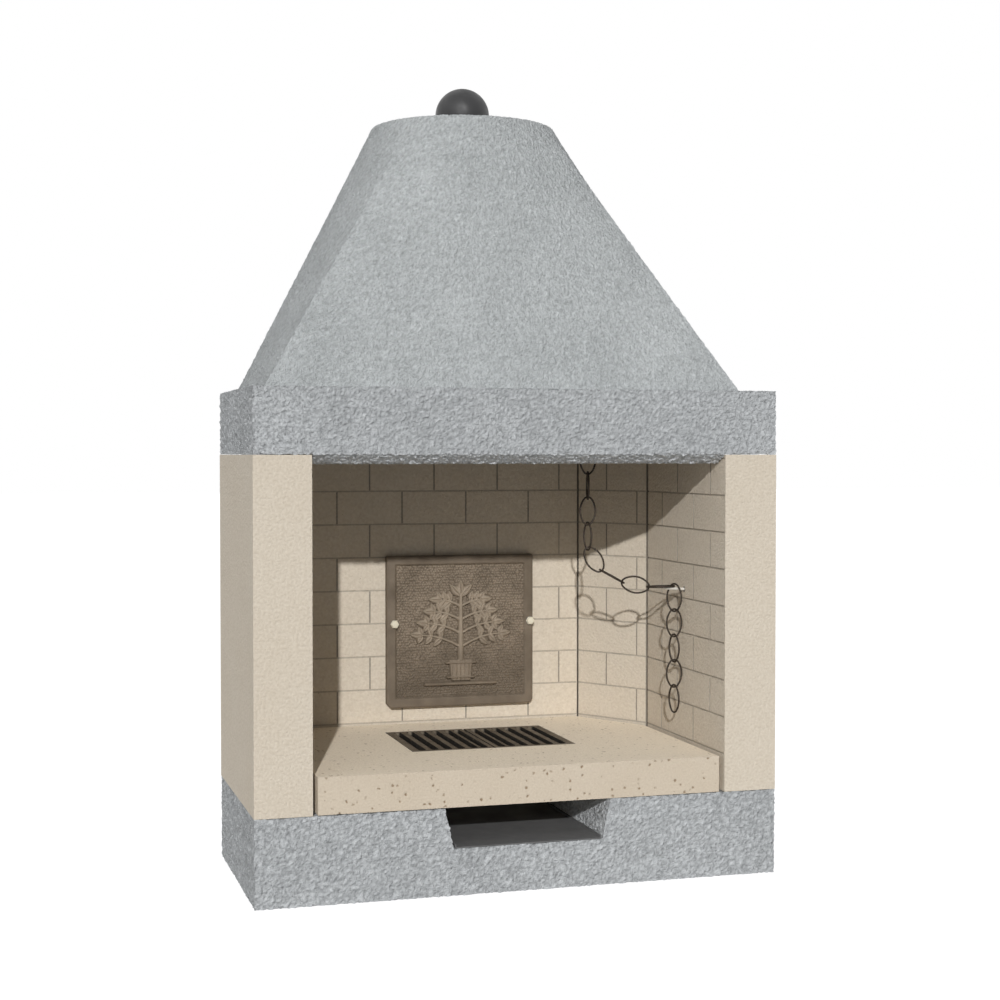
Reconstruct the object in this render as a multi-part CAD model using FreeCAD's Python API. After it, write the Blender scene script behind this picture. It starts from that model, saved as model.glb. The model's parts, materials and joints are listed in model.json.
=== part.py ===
"""Open prefabricated fireplace of cast blocks: plinth with ash channel, five lining walls with a moulded brick
pattern, hearth slab with a two-part grate, fireback, lintel frame, square-to-round hood and a ball-weighted damper
that a chain lifts through a rocker shaft. Millimetres, +Z up, front face towards -Y, origin on the floor at the
middle of the footprint.
"""
import FreeCAD
import Part
import math
import os

V = FreeCAD.Vector
X_AXIS = V(1, 0, 0)
Y_AXIS = V(0, 1, 0)
Z_AXIS = V(0, 0, 1)

# Overall plan: straight flanks at the front, chamfered corners at the rear
width = 1240.0
depth = 830.0
flank_depth = 550.0
plinth_height = 200.0
wall_height = 794.0
frame_height = 151.0
chamfer_slope = 0.62

# Firebox walls and the brick pattern moulded into them
wall_thickness = 130.0
firebox_depth = 700.0
firebox_flank = 500.0
seam_width = 4.5
seam_depth = 25.0
groove_width = 4.0
groove_depth = 3.0
groove_stop = 5.0
first_groove = 89.0
course_height = 87.0
back_brick = 174.0
back_joint_even = 50.5
back_joint_odd = 137.5
side_brick = 206.0
side_joint_even = 103.0
side_joint_odd = 206.0
corner_joint_even = 35.0
corner_joint_odd = 136.5

# Ash channel in the plinth and the sheet tray that lies in it
channel_offset = 7.5
channel_top_width = 392.0
channel_floor_width = 353.0
channel_height = 92.0
channel_depth = 600.0
tray_sheet = 3.0
tray_clearance = 2.0
tray_side_lip = 9.0
tray_rear_lip = 34.0

# Hearth slab and grate
slab_thickness = 84.0
slab_side_gap = 12.0
slab_rear_gap = 6.0
slab_setback = 5.0
grate_offset = 6.0
grate_front = 268.0
grate_length = 300.0
grate_half_width = 205.0
grate_thickness = 20.0
grate_clearance = 1.5
grate_ledge = 14.0
grate_seam = 4.0
slot_count = 6
slot_outer_bar = 18.5
slot_inner_bar = 11.5
slot_thin_bar = 7.0
slot_width = 18.0
slot_end_bar = 12.0

# Fireback and its two bolts
fireback_width = 400.0
fireback_height = 400.0
fireback_offset = 31.0
fireback_lift = 44.0
fireback_field = 15.0
fireback_rim = 6.0
fireback_rim_width = 27.0
fireback_corner = 11.0
fireback_top_corner = 2.5
bolt_left_inset = 20.0
bolt_right_inset = 8.0
bolt_height = 221.0
bolt_shank = 10.0
bolt_hole_clearance = 0.5
bolt_head_flats = 19.0
bolt_head_height = 8.0
bolt_embed = 60.0
washer_diameter = 23.0
washer_thickness = 2.0

# Lintel frame
beam_depth = 170.0
lip_drop = 21.0
lip_slope_depth = 38.0
lip_clearance = 1.0

# Hood with a round collar at the top
hood_side_inset = 41.0
hood_front_inset = 115.0
hood_flank = 560.0
hood_rear_inset = 40.0
hood_height = 673.0
hood_wall = 45.0
flue_axis = 548.5
rim_radius = 232.5
collar_height = 60.0
throat_radius = 120.0
front_corner_angle = 45.0
flank_corner_angle = 15.0
rear_corner_angle = 55.0

# Damper: seat ring, plate, ball weight, lift rod and its guide
seat_radius = 150.0
seat_overhang = 2.0
seat_thickness = 12.0
seat_clearance = 0.5
plate_radius = 132.0
plate_thickness = 8.0
plate_gap = 0.3
ball_radius = 68.5
ball_centre_above_plate = 31.5
rod_diameter = 12.0
rod_clearance = 0.1
stud_diameter = 10.0
stud_length = 24.0
foot_diameter = 40.0
foot_thickness = 6.0
strap_length = 290.0
strap_width = 40.0
strap_thickness = 6.0
screw_diameter = 8.0
screw_embed = 30.0
screw_head_flats = 13.0
screw_head_height = 5.5
screw_inset = 14.0

# Rocker shaft with a chain arm and a lift arm, on a crossbar
crossbar_width = 60.0
crossbar_thickness = 10.0
crossbar_bearing = 22.0
shaft_diameter = 16.0
shaft_clearance = 0.05
shaft_overrun = 14.0
arm_thickness = 8.0
arm_width = 24.0
arm_tip_width = 16.0
hub_diameter = 34.0
arm_rest_angle = 18.0
chain_arm_radius = 110.0
nose_radius = 16.0
nose_gap = 0.6
eye_radius = 6.0
eye_boss = 14.0
inner_bracket_offset = 50.0
outer_bracket_setback = 52.5
bracket_width = 50.0
bracket_thickness = 8.0
bracket_top = 20.0

# Chain of oval links, hooked on a peg in the right wall
wire = 4.6
link_length = 73.0
link_width = 44.6
link_end_radius = 12.5
link_play = 0.9
eye_link_gap = 1.2
chain_from_wall = 229.5
chain_from_front = 320.0
upper_link_count = 8
upper_turns = (0.0, 98.0, 0.0, 98.0, 0.0, 78.0, 0.0, 98.0)
run_drop = 92.0
run_offset = 2.7
run_slack_along = 1.0
run_slack_up = 0.5
lowest_link_angle = 58.0
hooked_link_angle = -2.0
tail_link_count = 5
first_tail_turn = -50.0
tail_turns = (105.0, 0.0)
peg_diameter = 7.0
peg_from_front = 250.8
peg_height = 459.7
peg_reach = 54.0
peg_tilt = 4.5
peg_embed = 62.0
hang_from_wall = 26.0
hang_gap = 0.35
sleeve_diameter = 14.0
sleeve_clearance = 0.05

# Levels and reference lines that follow from the sizes above
front = -depth / 2
half_width = width / 2
opening_half = half_width - wall_thickness
wall_top = plinth_height + wall_height
frame_top = wall_top + frame_height
hood_top = frame_top + hood_height
slab_top = plinth_height + slab_thickness
channel_floor = plinth_height - channel_height
flue_y = front + flue_axis
chain_x = opening_half - chain_from_wall
chain_y = front + chain_from_front
peg_y = front + peg_from_front


def prism(points, low, height):
    """Upright prism on a plan outline."""
    corners = [V(x, y, low) for x, y in points]
    return Part.Face(Part.makePolygon(corners + corners[:1])).extrude(V(0, 0, height))


def box(x0, x1, y0, y1, z0, z1):
    return Part.makeBox(x1 - x0, y1 - y0, z1 - z0, V(x0, y0, z0))


def cylinder(radius, start, end):
    return Part.makeCylinder(radius, (end - start).Length, start, end - start)


def hex_head(flats, height, base, axis):
    """Hexagonal bolt head that stands on base along axis."""
    radius = flats / math.sqrt(3)
    angles = [math.radians(60 * step) for step in range(6)]
    corners = [V(radius * math.cos(a), radius * math.sin(a), 0) for a in angles]
    head = Part.Face(Part.makePolygon(corners + corners[:1])).extrude(V(0, 0, height))
    head.Placement = FreeCAD.Placement(base, FreeCAD.Rotation(Z_AXIS, axis))
    return head


def plan(half, near, flank, rear):
    """Six-sided plan outline; near, flank and rear are distances from the front face."""
    rear_half = half - chamfer_slope * (rear - flank)
    right = [(half, front + near), (half, front + flank), (rear_half, front + rear)]
    left = [(-x, y) for x, y in reversed(right)]
    return right + left


def inset_flank(gap):
    """Flank length of the firebox outline drawn in by gap on its sides and chamfers."""
    return firebox_flank - gap * (math.sqrt(1 + chamfer_slope ** 2) - 1) / chamfer_slope


def mirrored(shape):
    return shape.mirror(V(0, 0, 0), X_AXIS)


# Plinth with the tapered ash channel, open to the front and covered by the hearth slab
outer_plan = plan(half_width, 0, flank_depth, depth)
plinth_block = prism(outer_plan, 0, plinth_height)
channel_section = [
    V(channel_offset - channel_floor_width / 2, front - 1, channel_floor),
    V(channel_offset + channel_floor_width / 2, front - 1, channel_floor),
    V(channel_offset + channel_top_width / 2, front - 1, plinth_height),
    V(channel_offset - channel_top_width / 2, front - 1, plinth_height),
]
channel = Part.Face(Part.makePolygon(channel_section + channel_section[:1])).extrude(V(0, channel_depth + 1, 0))
plinth = plinth_block.cut(channel)

# Sheet tray on the channel floor, with low side lips and a rear lip
tray_half = channel_floor_width / 2 - tray_clearance
tray_end = front + channel_depth - tray_clearance
tray_sides = (channel_offset - tray_half, channel_offset + tray_half)
ash_tray = box(tray_sides[0], tray_sides[1], front, tray_end, channel_floor, channel_floor + tray_sheet)
for side in (tray_sides[0], tray_sides[1] - tray_sheet):
    ash_tray = ash_tray.fuse(box(side, side + tray_sheet, front, tray_end, channel_floor, channel_floor + tray_side_lip))
ash_tray = ash_tray.fuse(
    box(tray_sides[0], tray_sides[1], tray_end - tray_sheet, tray_end, channel_floor, channel_floor + tray_rear_lip)
).removeSplitter()

# Firebox walls: two sides, two diagonal corners and a back, cut apart along mitres
firebox_plan = plan(opening_half, 0, firebox_flank, firebox_depth)
inner = [V(x, y, 0) for x, y in firebox_plan]
outer = [V(x, y, 0) for x, y in outer_plan]
inner_front, inner_flank, inner_rear, inner_rear_left = inner[0], inner[1], inner[2], inner[3]


def seam(inner_corner, outer_corner):
    """Open joint between two blocks, a rebate along the inner end of their mitre."""
    along = (outer_corner - inner_corner).normalize()
    across = V(-along.y, along.x, 0) * (seam_width / 2)
    near = inner_corner - along * seam_width
    far = inner_corner + along * seam_depth
    corners = [near + across, far + across, far - across, near - across]
    return prism([(p.x, p.y) for p in corners], plinth_height, wall_height)


def brick_grooves(start, end, joints_even, joints_odd, stop=-1.0):
    """Grooves on one wall face: level bed joints that end stop short of end, and upright joints from start."""
    along = (end - start).normalize()
    outward = V(along.y, -along.x, 0)
    length = (end - start).Length
    if outward.dot(V(0, front + firebox_flank / 2, 0) - start) > 0:
        outward = -outward

    def groove(s0, s1, z0, z1):
        near = -outward * groove_depth
        far = outward * groove_depth
        corners = [start + along * s0 + near, start + along * s1 + near]
        corners += [start + along * s1 + far, start + along * s0 + far]
        return prism([(p.x, p.y) for p in corners], z0, z1 - z0)

    cuts = []
    course_base = plinth_height + first_groove
    row = 0
    while course_base < wall_top:
        cuts.append(groove(-1, length - stop, course_base - groove_width / 2, course_base + groove_width / 2))
        row_top = min(course_base + course_height, wall_top)
        for joint in joints_odd if row % 2 else joints_even:
            if groove_width < joint < length - groove_width:
                cuts.append(groove(joint - groove_width / 2, joint + groove_width / 2, course_base, row_top))
        course_base += course_height
        row += 1
    return cuts


def joint_row(first, pitch, length):
    """Joint places along a wall face: first, and every pitch either way of it."""
    begin = first - pitch * math.floor(first / pitch)
    return [begin + pitch * step for step in range(int((length - begin) / pitch) + 1)]


side_length = (inner_front - inner_flank).Length
back_half = inner_rear.x
side_grooves = brick_grooves(
    inner_flank, inner_front,
    joint_row(side_joint_even, side_brick, side_length),
    joint_row(side_joint_odd, side_brick, side_length),
    groove_stop,
)
corner_grooves = brick_grooves(inner_flank, inner_rear, [corner_joint_even], [corner_joint_odd])
back_grooves = brick_grooves(
    inner_rear_left, inner_rear,
    joint_row(back_half + back_joint_even, back_brick, 2 * back_half),
    joint_row(back_half + back_joint_odd, back_brick, 2 * back_half),
)


def wall_block(corners, cuts):
    block = prism([(p.x, p.y) for p in corners], plinth_height, wall_height)
    return block.cut(cuts)


flank_seam = seam(inner[1], outer[1])
rear_seam = seam(inner[2], outer[2])
right_wall = wall_block([inner[0], outer[0], outer[1], inner[1]], [flank_seam] + side_grooves)
left_wall = mirrored(right_wall)
right_corner = wall_block([inner[1], outer[1], outer[2], inner[2]], [flank_seam, rear_seam] + corner_grooves)
left_corner = mirrored(right_corner)
back_wall = wall_block(
    [inner[2], outer[2], outer[3], inner[3]], [rear_seam, mirrored(rear_seam)] + back_grooves
)

# Hearth slab between the walls, with a ledged opening for the grate over the ash channel
slab_plan = plan(
    opening_half - slab_side_gap, slab_setback, inset_flank(slab_side_gap), firebox_depth - slab_rear_gap
)
grate_seat = (
    grate_offset - grate_half_width - grate_clearance,
    grate_offset + grate_half_width + grate_clearance,
    front + grate_front - grate_clearance,
    front + grate_front + grate_length + grate_clearance,
)
hearth_slab = prism(slab_plan, plinth_height, slab_thickness)
hearth_slab = hearth_slab.cut(box(*grate_seat, slab_top - grate_thickness, slab_top))
hearth_slab = hearth_slab.cut(
    box(
        grate_seat[0] + grate_ledge, grate_seat[1] - grate_ledge,
        grate_seat[2] + grate_ledge, grate_seat[3] - grate_ledge, plinth_height, slab_top,
    )
)


def grate_half(side):
    """One half of the grate: a flat casting with slots that run front to back."""
    outer_edge = grate_offset + side * grate_half_width
    inner_edge = grate_offset + side * grate_seam / 2
    low, high = min(outer_edge, inner_edge), max(outer_edge, inner_edge)
    near = front + grate_front
    casting = box(low, high, near, near + grate_length, slab_top - grate_thickness, slab_top)
    # One slot lies close to the seam, behind a thin bar; the rest are spread evenly out to the outer bar
    first = grate_seam / 2 + slot_inner_bar + slot_width / 2
    second = first + slot_width + slot_thin_bar
    last = grate_half_width - slot_outer_bar - slot_width / 2
    places = [first] + [second + (last - second) * index / (slot_count - 2) for index in range(slot_count - 1)]
    slots = []
    for place in places:
        centre = grate_offset + side * place
        slot = box(
            centre - slot_width / 2, centre + slot_width / 2,
            near + slot_end_bar, near + grate_length - slot_end_bar, slab_top - grate_thickness, slab_top,
        )
        upright = [e for e in slot.Edges if abs(e.tangentAt(e.FirstParameter).z) > 0.9]
        slots.append(slot.makeFillet(slot_width * 0.45, upright))
    return casting.cut(slots)


grate_left = grate_half(-1)
grate_right = grate_half(1)

# Fireback: a cast plate with a raised rim, bolted through its rim to the back wall
back_face = front + firebox_depth
fireback_low = slab_top + fireback_lift
fireback_thickness = fireback_field + fireback_rim
fireback_left = fireback_offset - fireback_width / 2
fireback_right = fireback_offset + fireback_width / 2
plate_box = box(
    fireback_left, fireback_right, back_face - fireback_thickness, back_face,
    fireback_low, fireback_low + fireback_height,
)
corner_edges = [e for e in plate_box.Edges if abs(e.tangentAt(e.FirstParameter).y) > 0.9]
low_corners = [e for e in corner_edges if e.BoundBox.ZMax < fireback_low + fireback_height / 2]
fireback = plate_box.makeChamfer(fireback_corner, low_corners)
top_corners = [
    e for e in fireback.Edges
    if abs(e.tangentAt(e.FirstParameter).y) > 0.9 and e.BoundBox.ZMin > fireback_low + fireback_height / 2
]
fireback = fireback.makeChamfer(fireback_top_corner, top_corners)
fireback = fireback.cut(
    box(
        fireback_left + fireback_rim_width, fireback_right - fireback_rim_width,
        back_face - fireback_thickness, back_face - fireback_field,
        fireback_low + fireback_rim_width, fireback_low + fireback_height - fireback_rim_width,
    )
)
bolt_z = fireback_low + bolt_height
bolt_places = (fireback_left + bolt_left_inset, fireback_right - bolt_right_inset)
bolt_seat = back_face - fireback_thickness - washer_thickness
bolt_bore = bolt_shank / 2 + bolt_hole_clearance


def fireback_bolt(x):
    """Hex bolt with a washer under its head; the shank reaches into the back wall."""
    head = hex_head(bolt_head_flats, bolt_head_height, V(x, bolt_seat, bolt_z), -Y_AXIS)
    shank = cylinder(bolt_shank / 2, V(x, bolt_seat, bolt_z), V(x, back_face + bolt_embed, bolt_z))
    return head.fuse(shank).removeSplitter()


def fireback_washer(x):
    face = V(x, back_face - fireback_thickness, bolt_z)
    ring = cylinder(washer_diameter / 2, face - Y_AXIS * washer_thickness, face)
    return ring.cut(cylinder(bolt_bore, face - Y_AXIS * washer_thickness * 2, face + Y_AXIS))


bolt_holes = []
for place in bolt_places:
    bolt_holes.append(cylinder(bolt_bore, V(place, bolt_seat, bolt_z), V(place, back_face + bolt_embed + 1, bolt_z)))
notch = box(
    bolt_places[1], fireback_right + 1, back_face - fireback_thickness, back_face, bolt_z - bolt_bore, bolt_z + bolt_bore
)
fireback = fireback.cut(bolt_holes + [notch])
back_wall = back_wall.cut(bolt_holes)
fireback_bolt_left = fireback_bolt(bolt_places[0])
fireback_bolt_right = fireback_bolt(bolt_places[1])
fireback_washers = Part.Compound([fireback_washer(place) for place in bolt_places])

# Lintel frame: a ring on the walls, with a sloped lip that drops between them at the front
smoke_plan = plan(opening_half, beam_depth, firebox_flank, firebox_depth)
lintel_ring = prism(outer_plan, wall_top, frame_height).cut(prism(smoke_plan, wall_top, frame_height))
lip_half = opening_half - lip_clearance
lip_section = [
    V(-lip_half, front, wall_top),
    V(-lip_half, front + lip_slope_depth, wall_top - lip_drop),
    V(-lip_half, front + beam_depth, wall_top - lip_drop),
    V(-lip_half, front + beam_depth, wall_top),
]
lip = Part.Face(Part.makePolygon(lip_section + lip_section[:1])).extrude(V(2 * lip_half, 0, 0))
lintel_frame = lintel_ring.fuse(lip).removeSplitter()


def rim_point(angle, radius, level):
    turn = math.radians(angle)
    return V(radius * math.cos(turn), flue_y + radius * math.sin(turn), level)


def square_to_round(outline, low, radius, high):
    """Ruled solid from a six-sided outline to a circle about the flue axis."""
    corners = [V(x, y, low) for x, y in outline]
    angles = [
        -front_corner_angle, flank_corner_angle, rear_corner_angle,
        180 - rear_corner_angle, 180 - flank_corner_angle, 180 + front_corner_angle,
    ]
    arcs = []
    for index, begin in enumerate(angles):
        end = angles[index + 1] if index + 1 < len(angles) else angles[0] + 360
        middle = rim_point((begin + end) / 2, radius, high)
        arcs.append(Part.Arc(rim_point(begin, radius, high), middle, rim_point(end, radius, high)).toShape())
    return Part.makeLoft([Part.makePolygon(corners + corners[:1]), Part.Wire(arcs)], True, True)


# Hood on the frame: thin walls below, a thick collar with the throat bore and the damper seat above
hood_half = half_width - hood_side_inset
hood_rear = depth - hood_rear_inset
hood_plan = plan(hood_half, hood_front_inset, hood_flank, hood_rear)
cavity_plan = plan(hood_half - hood_wall, hood_front_inset + hood_wall, hood_flank, hood_rear - hood_wall)
collar_low = hood_top - collar_height
cavity = square_to_round(cavity_plan, frame_top, rim_radius - hood_wall, collar_low)
throat = cylinder(throat_radius, V(0, flue_y, collar_low), V(0, flue_y, hood_top))
seat_recess = cylinder(
    seat_radius + seat_clearance, V(0, flue_y, hood_top - seat_thickness), V(0, flue_y, hood_top)
)
strap_screw_places = [side * (strap_length / 2 - screw_inset) for side in (-1, 1)]
screw_holes = []
for place in strap_screw_places:
    low_end = V(place, flue_y, collar_low - strap_thickness - 1)
    screw_holes.append(cylinder(screw_diameter / 2 + rod_clearance, low_end, V(place, flue_y, collar_low + screw_embed)))
hood = square_to_round(hood_plan, frame_top, rim_radius, hood_top).cut([cavity, throat, seat_recess] + screw_holes)

# Damper seat ring, flush with the collar, and the plate with its ball weight and lift rod
seat_base = V(0, flue_y, hood_top - seat_thickness)
seat_ring = cylinder(seat_radius, seat_base, V(0, flue_y, hood_top))
seat_ring = seat_ring.cut(
    cylinder(throat_radius - seat_overhang, seat_base, V(0, flue_y, hood_top))
)
plate_low = hood_top + plate_gap
plate_high = plate_low + plate_thickness
ball_centre = V(0, flue_y, plate_high + ball_centre_above_plate)
stud_top = V(0, flue_y, plate_high + stud_length)
stud_bore = cylinder(stud_diameter / 2 + rod_clearance, V(0, flue_y, plate_low), stud_top + Z_AXIS)
damper_plate = cylinder(plate_radius, V(0, flue_y, plate_low), V(0, flue_y, plate_high)).cut(stud_bore)
below_plate = box(
    -ball_radius, ball_radius, flue_y - ball_radius, flue_y + ball_radius, ball_centre.z - ball_radius, plate_high
)
damper_ball = Part.makeSphere(ball_radius, ball_centre).cut([below_plate, stud_bore])

# Rocker shaft: where it lies follows from the chain's eye and the lift rod
arm_turn = math.radians(arm_rest_angle)
shaft_y = chain_y + chain_arm_radius * math.cos(arm_turn)
lift_arm_radius = (flue_y - shaft_y) / math.cos(arm_turn)
peg_root = V(opening_half, peg_y, plinth_height + peg_height)
peg_axis = V(-math.cos(math.radians(peg_tilt)), 0, math.sin(math.radians(peg_tilt)))
hang_x = opening_half - hang_from_wall
peg_top = peg_root.z + hang_from_wall * math.tan(math.radians(peg_tilt)) + peg_diameter / 2
hook = V(hang_x, peg_y, peg_top + wire / 2 + hang_gap)
half_link = link_length / 2 - wire / 2
joint_offset = (wire + link_play) / 2

# Run of the slack chain, in an upright plane that passes just in front of the hanging chain to the hook
chain_line = V(chain_x, chain_y, 0)
hook_foot = V(hook.x, hook.y, 0)
run_foot = chain_line - Z_AXIS.cross((hook_foot - chain_line).normalize()) * run_offset
run_along = (hook_foot - run_foot).normalize()
run_normal = Z_AXIS.cross(run_along)


def run_step(angle):
    """Unit vector along the run, from the hook towards the hanging chain, at an angle above level."""
    turn = math.radians(angle)
    return run_along * -math.cos(turn) + Z_AXIS * math.sin(turn)


link_pitch = 2 * half_link - 2 * joint_offset
chain_low = chain_line + Z_AXIS * (hook.z + run_drop)
run_end = run_foot - run_along * run_slack_along + Z_AXIS * (chain_low.z + run_slack_up)
run_joints = [hook + run_step(hooked_link_angle) * (2 * half_link - joint_offset)]
above_bend = run_end - run_step(lowest_link_angle) * link_pitch
span = above_bend - run_joints[0]
sag = math.sqrt(link_pitch ** 2 - (span.Length / 2) ** 2)
downward = run_normal.cross(span).normalize()
if downward.z > 0:
    downward = -downward
run_joints.append(run_joints[0] + span * 0.5 + downward * sag)
run_joints.append(above_bend)
run_joints.append(run_end)

upper_top = chain_low.z + upper_link_count * link_pitch
eye_centre = V(chain_x, chain_y, upper_top + joint_offset + eye_radius - wire / 2 - eye_link_gap)
shaft_z = eye_centre.z - chain_arm_radius * math.sin(arm_turn)
shaft_line = V(0, shaft_y, shaft_z)
shaft_bore_radius = shaft_diameter / 2 + shaft_clearance


def rocker_arm(x, tip, tip_radius):
    """Flat arm with a hub on the shaft and a round tip."""
    face = V(x - arm_thickness / 2, shaft_line.y, shaft_line.z)
    reach = V(face.x, tip.y, tip.z) - face
    side = X_AXIS.cross(reach).normalize() * (arm_width / 2)
    taper = X_AXIS.cross(reach).normalize() * (arm_tip_width / 2)
    corners = [face + side, face + reach + taper, face + reach - taper, face - side]
    arm = Part.Face(Part.makePolygon(corners + corners[:1])).extrude(V(arm_thickness, 0, 0))
    tip_disc = cylinder(tip_radius, face + reach, face + reach + X_AXIS * arm_thickness)
    hub = cylinder(hub_diameter / 2, face, face + X_AXIS * arm_thickness)
    arm = arm.fuse([tip_disc, hub]).removeSplitter()
    return arm.cut(cylinder(shaft_bore_radius, face - X_AXIS, face + X_AXIS * (arm_thickness + 1)))


lift_tip = V(0, flue_y, shaft_z - lift_arm_radius * math.sin(arm_turn))
lift_arm = rocker_arm(0, lift_tip, nose_radius)
chain_arm = rocker_arm(chain_x, eye_centre, eye_boss)
chain_arm = chain_arm.cut(
    cylinder(eye_radius, eye_centre - X_AXIS * arm_thickness, eye_centre + X_AXIS * arm_thickness)
)
rocker_shaft = cylinder(
    shaft_diameter / 2,
    shaft_line - X_AXIS * shaft_overrun,
    V(chain_x + shaft_overrun, shaft_line.y, shaft_line.z),
)

# Lift rod: a foot on the lift arm's nose, a plain shank in the guide strap, a stud through plate and ball
foot_low = V(0, flue_y, lift_tip.z + nose_radius + nose_gap)
foot_high = foot_low + Z_AXIS * foot_thickness
lift_rod = cylinder(foot_diameter / 2, foot_low, foot_high)
lift_rod = lift_rod.fuse(cylinder(rod_diameter / 2, foot_high, V(0, flue_y, plate_low)))
lift_rod = lift_rod.fuse(cylinder(stud_diameter / 2, V(0, flue_y, plate_low), stud_top)).removeSplitter()
strap_low = collar_low - strap_thickness
guide_strap = box(
    -strap_length / 2, strap_length / 2, flue_y - strap_width / 2, flue_y + strap_width / 2, strap_low, collar_low
)
rod_hole = cylinder(rod_diameter / 2 + rod_clearance, V(0, flue_y, strap_low), V(0, flue_y, collar_low))
guide_strap = guide_strap.cut([rod_hole] + screw_holes)


def strap_screw(place):
    seat = V(place, flue_y, strap_low)
    head = hex_head(screw_head_flats, screw_head_height, seat, -Z_AXIS)
    shank = cylinder(screw_diameter / 2, seat, V(place, flue_y, collar_low + screw_embed))
    return head.fuse(shank).removeSplitter()


strap_screws = Part.Compound([strap_screw(place) for place in strap_screw_places])

# Crossbar on the frame's inner ledges, with two shaft brackets
crossbar_half = opening_half + crossbar_bearing
crossbar_top = frame_top + crossbar_thickness
crossbar = box(
    -crossbar_half, crossbar_half, shaft_y - crossbar_width / 2, shaft_y + crossbar_width / 2, frame_top, crossbar_top
)


def shaft_bracket(x):
    """Angle bracket: a foot on the crossbar and an upright cheek with the shaft's bearing hole."""
    low, high = shaft_y - bracket_width / 2, shaft_y + bracket_width / 2
    foot = box(x, x + bracket_width, low, high, crossbar_top, crossbar_top + bracket_thickness)
    cheek = box(x, x + bracket_thickness, low, high, crossbar_top, shaft_z + bracket_top)
    bore = cylinder(shaft_bore_radius, V(x - 1, shaft_y, shaft_z), V(x + bracket_thickness + 1, shaft_y, shaft_z))
    return foot.fuse(cheek).removeSplitter().cut(bore)


shaft_bracket_inner = shaft_bracket(inner_bracket_offset)
shaft_bracket_outer = mirrored(shaft_bracket(outer_bracket_setback - chain_x - bracket_thickness))

# Peg in a sleeve in the right wall; the hooked link lies over it
peg_inner = peg_root - peg_axis * peg_embed
peg_tip = peg_root + peg_axis * peg_reach
chain_peg = cylinder(peg_diameter / 2, peg_inner, peg_tip)
wall_side = box(opening_half, half_width, front, front + firebox_flank, plinth_height, wall_top)
sleeve_body = cylinder(sleeve_diameter / 2, peg_inner, peg_tip).common(wall_side)
peg_sleeve = sleeve_body.cut(cylinder(peg_diameter / 2 + sleeve_clearance, peg_inner - peg_axis, peg_tip))
sleeve_hole = cylinder(sleeve_diameter / 2 + sleeve_clearance, peg_inner, peg_tip)
right_wall = right_wall.cut(sleeve_hole)


def oval_link():
    """Closed link in the XZ plane about the origin, its long axis upright: four torus arcs of round wire."""
    half_length = half_link
    half_breadth = link_width / 2 - wire / 2
    side_radius = (half_length ** 2 + half_breadth ** 2 - 2 * half_length * link_end_radius) / (
        2 * (half_breadth - link_end_radius)
    )
    end_centre = half_length - link_end_radius
    side_centre = side_radius - half_breadth
    end_sweep = 2 * math.degrees(math.atan2(side_centre, end_centre))
    side_sweep = 180 - end_sweep
    pieces = []
    for turn, centre, radius, sweep in (
        (0, V(0, 0, end_centre), link_end_radius, end_sweep),
        (90, V(-side_centre, 0, 0), side_radius, side_sweep),
        (180, V(0, 0, -end_centre), link_end_radius, end_sweep),
        (270, V(side_centre, 0, 0), side_radius, side_sweep),
    ):
        begin = math.radians(turn - sweep / 2)
        spot = centre + V(math.sin(begin), 0, math.cos(begin)) * radius
        heading = V(math.cos(begin), 0, -math.sin(begin))
        section = Part.Face(Part.Wire(Part.makeCircle(wire / 2, spot, heading)))
        pieces.append(section.revolve(centre, Y_AXIS, sweep))
    return pieces[0].fuse(pieces[1:]).removeSplitter()


def placed_link(middle, along, normal):
    """Link moved to middle, with its long axis along along and its flat side facing normal."""
    across = normal.cross(along)
    frame = FreeCAD.Matrix(
        across.x, normal.x, along.x, middle.x,
        across.y, normal.y, along.y, middle.y,
        across.z, normal.z, along.z, middle.z,
        0, 0, 0, 1,
    )
    link = oval_link()
    link.Placement = FreeCAD.Placement(frame)
    return link


def plan_direction(angle):
    turn = math.radians(angle)
    return V(math.cos(turn), math.sin(turn), 0)


chain_links = {}

# Hanging part of the chain, from the chain arm's eye down; links face front and side in turn
for index in range(upper_link_count):
    middle_z = upper_top - (index + 0.5) * link_pitch
    facing = Z_AXIS.cross(plan_direction(upper_turns[index % len(upper_turns)]))
    chain_links[f"chain_upper_{index + 1}"] = placed_link(V(chain_x, chain_y, middle_z), Z_AXIS, facing)

# Slack run: from the hook to the foot of the hanging part
run_starts = [hook + run_step(hooked_link_angle) * joint_offset] + run_joints[:-1]
for index, (begin, end) in enumerate(zip(run_starts, run_joints)):
    along = (end - begin).normalize()
    facing = run_normal if index % 2 else along.cross(run_normal)
    chain_links[f"chain_run_{index + 1}"] = placed_link((begin + end) * 0.5, along, facing)

# Tail: hangs from the hooked link over the peg
tail_top = hook + Z_AXIS * joint_offset
for index in range(tail_link_count):
    middle = tail_top - Z_AXIS * (index + 0.5) * link_pitch
    turn = tail_turns[index % 2] if index else first_tail_turn
    facing = Z_AXIS.cross(plan_direction(turn))
    chain_links[f"chain_tail_{index + 1}"] = placed_link(middle, Z_AXIS, facing)

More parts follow.
